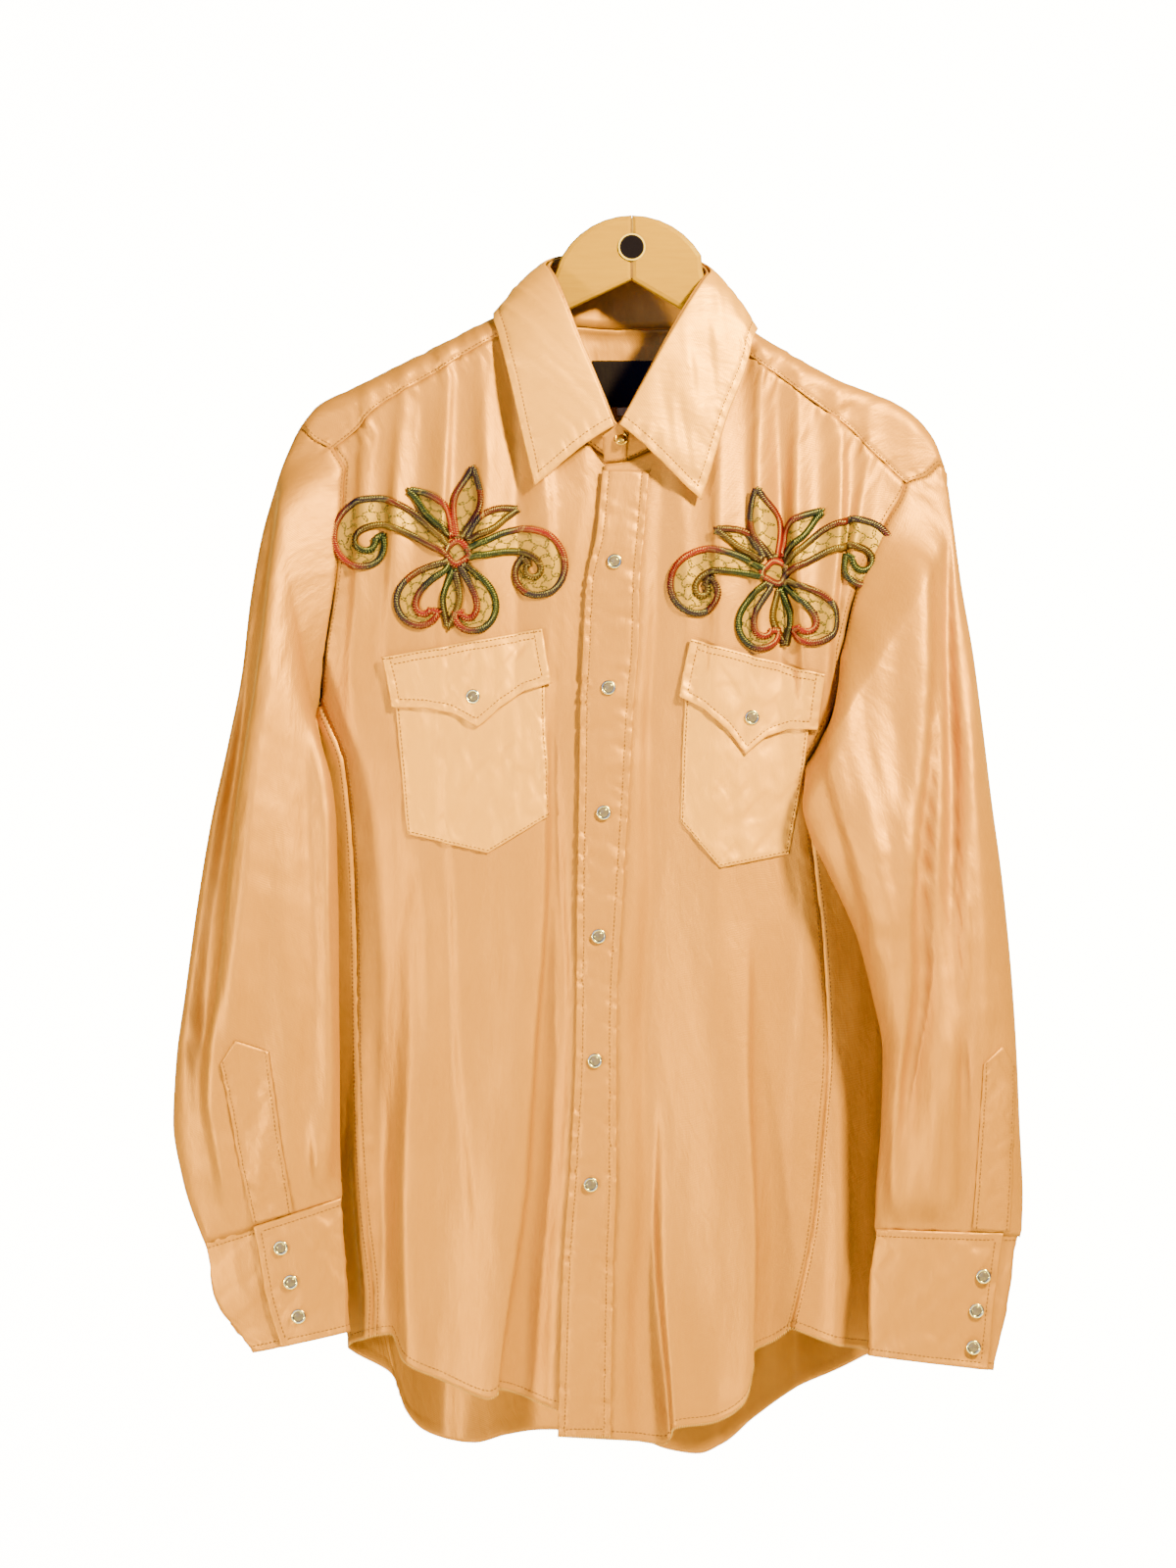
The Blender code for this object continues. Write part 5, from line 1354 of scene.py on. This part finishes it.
add_cuff("left_cuff_band", Cuff(CUFF_LEFT), "cuff_left", right=False)
add_cuff("right_cuff_band", Cuff(CUFF_RIGHT), "cuff_right",
         right=True)

# Pockets. A patch pocket on each chest with a pointed flap over it, both topstitched. The
# flap is of two layers and closes with a snap at its point.

POCKET_LEFT = {"top": [(-168, -332), (-62, -318)],
               "left": [(-168, -332), (-166, -351), (-158, -438)],
               "bottom": [(-158, -438), (-102, -451.5), (-60, -425)],
               "right": [(-62, -318), (-62, -370), (-60, -425)]}
POCKET_RIGHT = {"top": [(38.5, -325), (127, -346)],
                "left": [(38.5, -325), (36, -380), (34.5, -429)],
                "bottom": [(34.5, -429), (62, -461.6), (110.4, -452)],
                "right": [(127, -346), (121, -390), (110.4, -452)]}
FLAP_LEFT = {"top": [(-174.6, -313.3), (-63.5, -293.9)],
             "left": [(-174.6, -313.3), (-169, -349)],
             "bottom": [(-169, -349), (-145, -349.5), (-125, -353.5), (-108, -363),
                        (-93, -349), (-76, -338), (-58, -332)],
             "right": [(-63.5, -293.9), (-58, -332)]}
FLAP_RIGHT = {"top": [(40.7, -300.8), (133.9, -325.7)],
              "left": [(40.7, -300.8), (33.8, -341.5)],
              "bottom": [(33.8, -341.5), (52, -351), (67, -365), (79.3, -382.3),
                         (93, -370), (110, -364.5), (130.4, -364.3)],
              "right": [(133.9, -325.7), (130.4, -364.3)]}
POCKET = {"lift": 1.8, "thickness": CLOTH, "down": 70, "inset": 1.8,
          "rows": [("left", 1.8), ("right", 1.8), ("bottom", 1.8)]}
FLAP = {"lift": 4.1, "thickness": BAND, "down": 36, "inset": 6,
        "rows": [("left", 6, 0, 6), ("right", 6, 0, 6), ("bottom", 6, 6, 6), ("top", 1.6),
                 ("top", 6, 6, 6)]}


def add_patch(name, outline, node, flat, area, front, lift, thickness, down, inset, rows):
    edges = [polyline(outline[edge], count) for edge, count in
             (("top", 80), ("bottom", 80), ("left", down), ("right", down))]
    x, z = np.moveaxis(fill_patch(*edges), -1, 0)
    swell = 0.6 * ripple(x, z, 7, 30, 51) * smooth_step(from_edge(points(x, 0, z), "top") / 8)
    grid = topstitch(front_point(x, z, (lift + swell)[..., None]), inset, 0.5)
    # Pockets and flaps are in the lighter satin copy, whose painted light makes them brighter.
    cut_cloth(name, crumple(grid, 0.45, 11, 105), node,
              thickness=thickness, material=satin_painted_light, rows=rows)


add_patch("left_pocket_patch", POCKET_LEFT, "pocket_left", (110, 135), 12500, "front_left",
          **POCKET)
add_patch("right_pocket_patch", POCKET_RIGHT, "pocket_right", (100, 140), 11000, "front_right",
          **POCKET)
add_patch("left_pocket_flap", FLAP_LEFT, "pocket_flap_left", (118, 60), 5000, "front_left",
          **FLAP)
add_patch("right_pocket_flap", FLAP_RIGHT, "pocket_flap_right", (110, 70), 5000, "front_right",
          **FLAP)

# Snaps. Pearl snaps down the front, on both flaps and on both cuffs: a domed pearl plastic
# cap held in a plated steel ring, riveted through both layers. The collar's snap is open and
# shows its brass inside.

SNAP_RING = (4.3, 0.95)     # radius, and half thickness
SNAP_PEARL = (3.7, 1.5)     # radius, and height of the dome
RING_SINK, PEARL_SINK = 0.3, 0.5
front_snaps = [f"snap_front_{number}" for number in range(1, 7)]
front_snaps += ["snap_pocket_left", "snap_pocket_right"]
cuff_snaps = [f"snap_cuff_{side}_{number}" for side in ("left", "right")
              for number in (1, 2, 3)]


def snap_place(node):
    """Middle of the snap's foot, and its direction outwards."""
    low, high = (np.array(corner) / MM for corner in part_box(node))
    middle = (low + high) / 2
    if node in front_snaps:
        out = torso_normal(torso_angle(middle[0], middle[2]), middle[2])
    else:
        out = np.array((0, -1, 0.35 if node == "snap_collar" else 0))
    return middle, unit(out)


def start_mesh(name):
    """Empty piece at the origin, open in edit mode for primitives."""
    bpy.ops.object.select_all(action="DESELECT")
    piece = bpy.data.objects.new(name, bpy.data.meshes.new(name))
    bpy.context.scene.collection.objects.link(piece)
    bpy.context.view_layer.objects.active = piece
    piece.select_set(True)
    bpy.ops.object.mode_set(mode="EDIT")
    return piece


def end_mesh(piece, material, slot, *nodes):
    bpy.ops.object.mode_set(mode="OBJECT")
    piece.data.shade_smooth()
    piece.data.materials.append(material)
    dress(piece, slot, *nodes)


def snap_material(name, colour, deep, metallic, roughness, scale):
    """Clouded gloss in two colours."""
    material, tree, shader = new_material(name)
    place = add_node(tree, "ShaderNodeTexCoord").outputs["Object"]
    cloud = noise(tree, place, scale, detail=3.0, distortion=1.5)
    tree.links.new(mix_colour(tree, cloud, (*colour, 1), (*deep, 1)),
                   shader.inputs["Base Color"])
    tree.links.new(math_node(tree, "MULTIPLY_ADD", cloud, 0.15, roughness),
                   shader.inputs["Roughness"])
    shader.inputs["Metallic"].default_value = metallic
    return material


def add_snaps(name, nodes, ring_material, pearl_material, pearl_slot):
    snaps = [snap_place(node) for node in nodes]
    turns = [Vector(out).to_track_quat("Z", "Y").to_euler() for _, out in snaps]
    rings = start_mesh(name + "_rings")
    for (middle, out), turn in zip(snaps, turns):
        bpy.ops.mesh.primitive_torus_add(
            location=Vector(middle - out * RING_SINK) * MM, rotation=turn, major_segments=36,
            minor_segments=10, major_radius=SNAP_RING[0] * MM, minor_radius=SNAP_RING[1] * MM)
    end_mesh(rings, ring_material, "snap_metal")
    pearls = start_mesh(name + "_caps")
    radius, height = SNAP_PEARL
    for (middle, out), turn in zip(snaps, turns):
        bpy.ops.mesh.primitive_uv_sphere_add(
            location=Vector(middle - out * PEARL_SINK) * MM, rotation=turn, segments=28,
            ring_count=14, radius=1, scale=Vector((radius, radius, height)) * MM)
    end_mesh(pearls, pearl_material, pearl_slot, *nodes)


steel = snap_material("plated_steel", (0.8, 0.8, 0.95), (0.45, 0.45, 0.55), 1.0, 0.12, 400)
brass = snap_material("worn_brass", (0.5, 0.32, 0.07), (0.3, 0.17, 0.035), 1.0, 0.25, 300)
pearl = snap_material("pearl_cap", (0.12, 0.1, 0.2), (0.035, 0.03, 0.06), 0.0, 0.06, 420)
add_snaps("shirt_snaps", front_snaps + cuff_snaps, steel, pearl, "pearl_snap")
add_snaps("collar_snap", ["snap_collar"], brass, brass, "snap_metal")

# Hanger. Two halves of pale varnished wood, glued together in the middle, with a round black
# sticker over the joint. Their solids keep their shape and get the wood, and the line of
# glue is a thin strip between them.

wood, tree, shader = new_material("varnished_wood")
place = add_node(tree, "ShaderNodeTexCoord").outputs["Object"]
grain = noise(tree, place, stretch=(45, 160, 420), turn=(0, 0.35, 0), detail=5.0,
              distortion=0.5)
bands = noise(tree, place, stretch=(8, 30, 60), detail=2.0)
share = math_node(tree, "MULTIPLY_ADD", grain, 0.7, math_node(tree, "MULTIPLY", bands, 0.3))
tree.links.new(mix_colour(tree, share, (0.27, 0.155, 0.0003, 1), (0.19, 0.1, 0.0003, 1)),
               shader.inputs["Base Color"])
shader.inputs["Specular IOR Level"].default_value = 0.05
tree.links.new(math_node(tree, "MULTIPLY_ADD", grain, 0.2, 0.25), shader.inputs["Roughness"])
tree.links.new(add_node(tree, "ShaderNodeBump", {"Height": grain, "Strength": 0.15,
                                                 "Distance": 0.0004}).outputs[0],
               shader.inputs["Normal"])

sticker, tree, shader = new_material("black_sticker")
low, high = (Vector(corner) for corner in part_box("hanger_disc"))
centre, disc_radius = (low + high) / 2, (high.x - low.x) / 2
place = add_node(tree, "ShaderNodeTexCoord").outputs["Object"]
way = add_node(tree, "ShaderNodeVectorMath", {0: place, 1: centre},
               operation="SUBTRACT").outputs[0]
flat_way = add_node(tree, "ShaderNodeVectorMath", {0: way, 1: (1, 0, 1)},
                    operation="MULTIPLY").outputs[0]
radius = add_node(tree, "ShaderNodeVectorMath", {0: flat_way}, operation="LENGTH").outputs[1]
rim = add_node(tree, "ShaderNodeMapRange", {"Value": radius, "From Min": disc_radius * 0.86,
                                            "From Max": disc_radius * 0.9}).outputs[0]
black = mix_colour(tree, noise(tree, place, 900.0), (0.002, 0.0015, 0.009, 1),
                   (0.004, 0.003, 0.017, 1))
tree.links.new(mix_colour(tree, rim, black, (0.4, 0.3, 0.15, 1)), shader.inputs["Base Color"])
shader.inputs["Roughness"].default_value = 0.55
shader.inputs["Specular IOR Level"].default_value = 0.02

JOINT_WIDTH, JOINT_HEIGHT, JOINT_MIDDLE = 0.0024, 0.043, 0.0235
low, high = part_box("hanger_right")
joint = start_mesh("hanger_joint")
bpy.ops.mesh.primitive_cube_add(
    size=1, location=((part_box("hanger_left")[1][0] + low[0]) / 2, (low[1] + high[1]) / 2,
                      high[2] - JOINT_MIDDLE),
    scale=(JOINT_WIDTH, (high[1] - low[1]) * 0.8, JOINT_HEIGHT))
bpy.ops.mesh.bevel(offset=0.0004, segments=2, affect="EDGES")
glue = snap_material("joint_glue", (0.12, 0.05, 0.01), (0.06, 0.025, 0.006), 0.0, 0.5, 200)
end_mesh(joint, glue, "hanger_wood")
for node, material in (("hanger_left", wood), ("hanger_right", wood), ("hanger_disc", sticker)):
    for slot in bpy.data.objects[node].material_slots:
        slot.material = material

# Stage. A plain white floor that curves up behind the shirt and is clear from behind, a small
# warm lamp at the upper right, a weaker one at the lower left, a broad cool one in front, and
# a camera straight before it.

FRAME_CENTRE = (-31.05, -402.96)
FRAME_HEIGHT = 1104
CAMERA_WAY = 4500
CAMERA_PLANE = -30
SENSOR_HEIGHT = 24
WALL_GLOW = 14.0

bpy.ops.mesh.primitive_plane_add(size=1)
floor = bpy.context.object
floor.name = "studio_floor"
floor_profile = [(-3.0, -1.25), (1.2, -1.25), (1.5, -1.2), (1.75, -1.0), (1.85, -0.7), (1.85, 2.6)]
bm = bmesh.new()
rows = [[bm.verts.new((x, y, z)) for x in (-5, 5)] for y, z in floor_profile]
for near, far in zip(rows, rows[1:]):
    bm.faces.new((near[0], near[1], far[1], far[0]))
bm.to_mesh(floor.data)
bm.free()
floor.data.shade_smooth()
paper, tree, shader = new_material("pale_paper")
shader.inputs["Base Color"].default_value = (0.9, 0.9, 0.9, 1)
shader.inputs["Roughness"].default_value = 0.8
shader.inputs["Emission Color"].default_value = (1, 1, 1, 1)
seen = add_node(tree, "ShaderNodeLightPath").outputs["Is Camera Ray"]
tree.links.new(math_node(tree, "MULTIPLY", seen, WALL_GLOW), shader.inputs["Emission Strength"])
behind = add_node(tree, "ShaderNodeNewGeometry").outputs["Backfacing"]
clear = add_node(tree, "ShaderNodeMixShader",
                 {0: behind, 1: shader.outputs[0],
                  2: add_node(tree, "ShaderNodeBsdfTransparent").outputs[0]})
tree.links.new(clear.outputs[0], tree.nodes["Material Output"].inputs["Surface"])
floor.data.materials.append(paper)

SHIRT_MIDDLE = (-0.03, 0, -0.45)
LIGHTS = [
    ("key", (0.9, -1.2, 0.65), 0.2, 275, (1.0, 0.76, 0.1)),
    ("low_key", (-1.4, -1.4, -0.7), 0.2, 84, (1.0, 0.76, 0.1)),
    ("fill", (-1.2, -3.0, 0.2), 2.2, 31, (0.64, 0.77, 0.95)),
]
for name, place, size, power, colour in LIGHTS:
    bpy.ops.object.light_add(type="AREA", location=place)
    lamp = bpy.context.object
    lamp.name = name
    lamp.data.size = size
    lamp.data.energy = power
    lamp.data.color = colour
    aim = Vector(SHIRT_MIDDLE) - Vector(place)
    lamp.rotation_euler = aim.to_track_quat("-Z", "Y").to_euler()

world = bpy.data.worlds.new("studio_air")
world.use_nodes = True
world.node_tree.nodes["Background"].inputs["Color"].default_value = (0.5, 0.72, 1, 1)
world.node_tree.nodes["Background"].inputs["Strength"].default_value = 0.16
bpy.context.scene.world = world

bpy.ops.object.camera_add(
    location=(FRAME_CENTRE[0] * MM, (CAMERA_PLANE - CAMERA_WAY) * MM, FRAME_CENTRE[1] * MM),
    rotation=(math.pi / 2, 0, 0))
camera = bpy.context.object
camera.data.sensor_fit = "VERTICAL"
camera.data.sensor_height = SENSOR_HEIGHT
camera.data.lens = SENSOR_HEIGHT * CAMERA_WAY / FRAME_HEIGHT
camera.data.clip_end = 50
bpy.context.scene.camera = camera

bpy.context.view_layer.update()
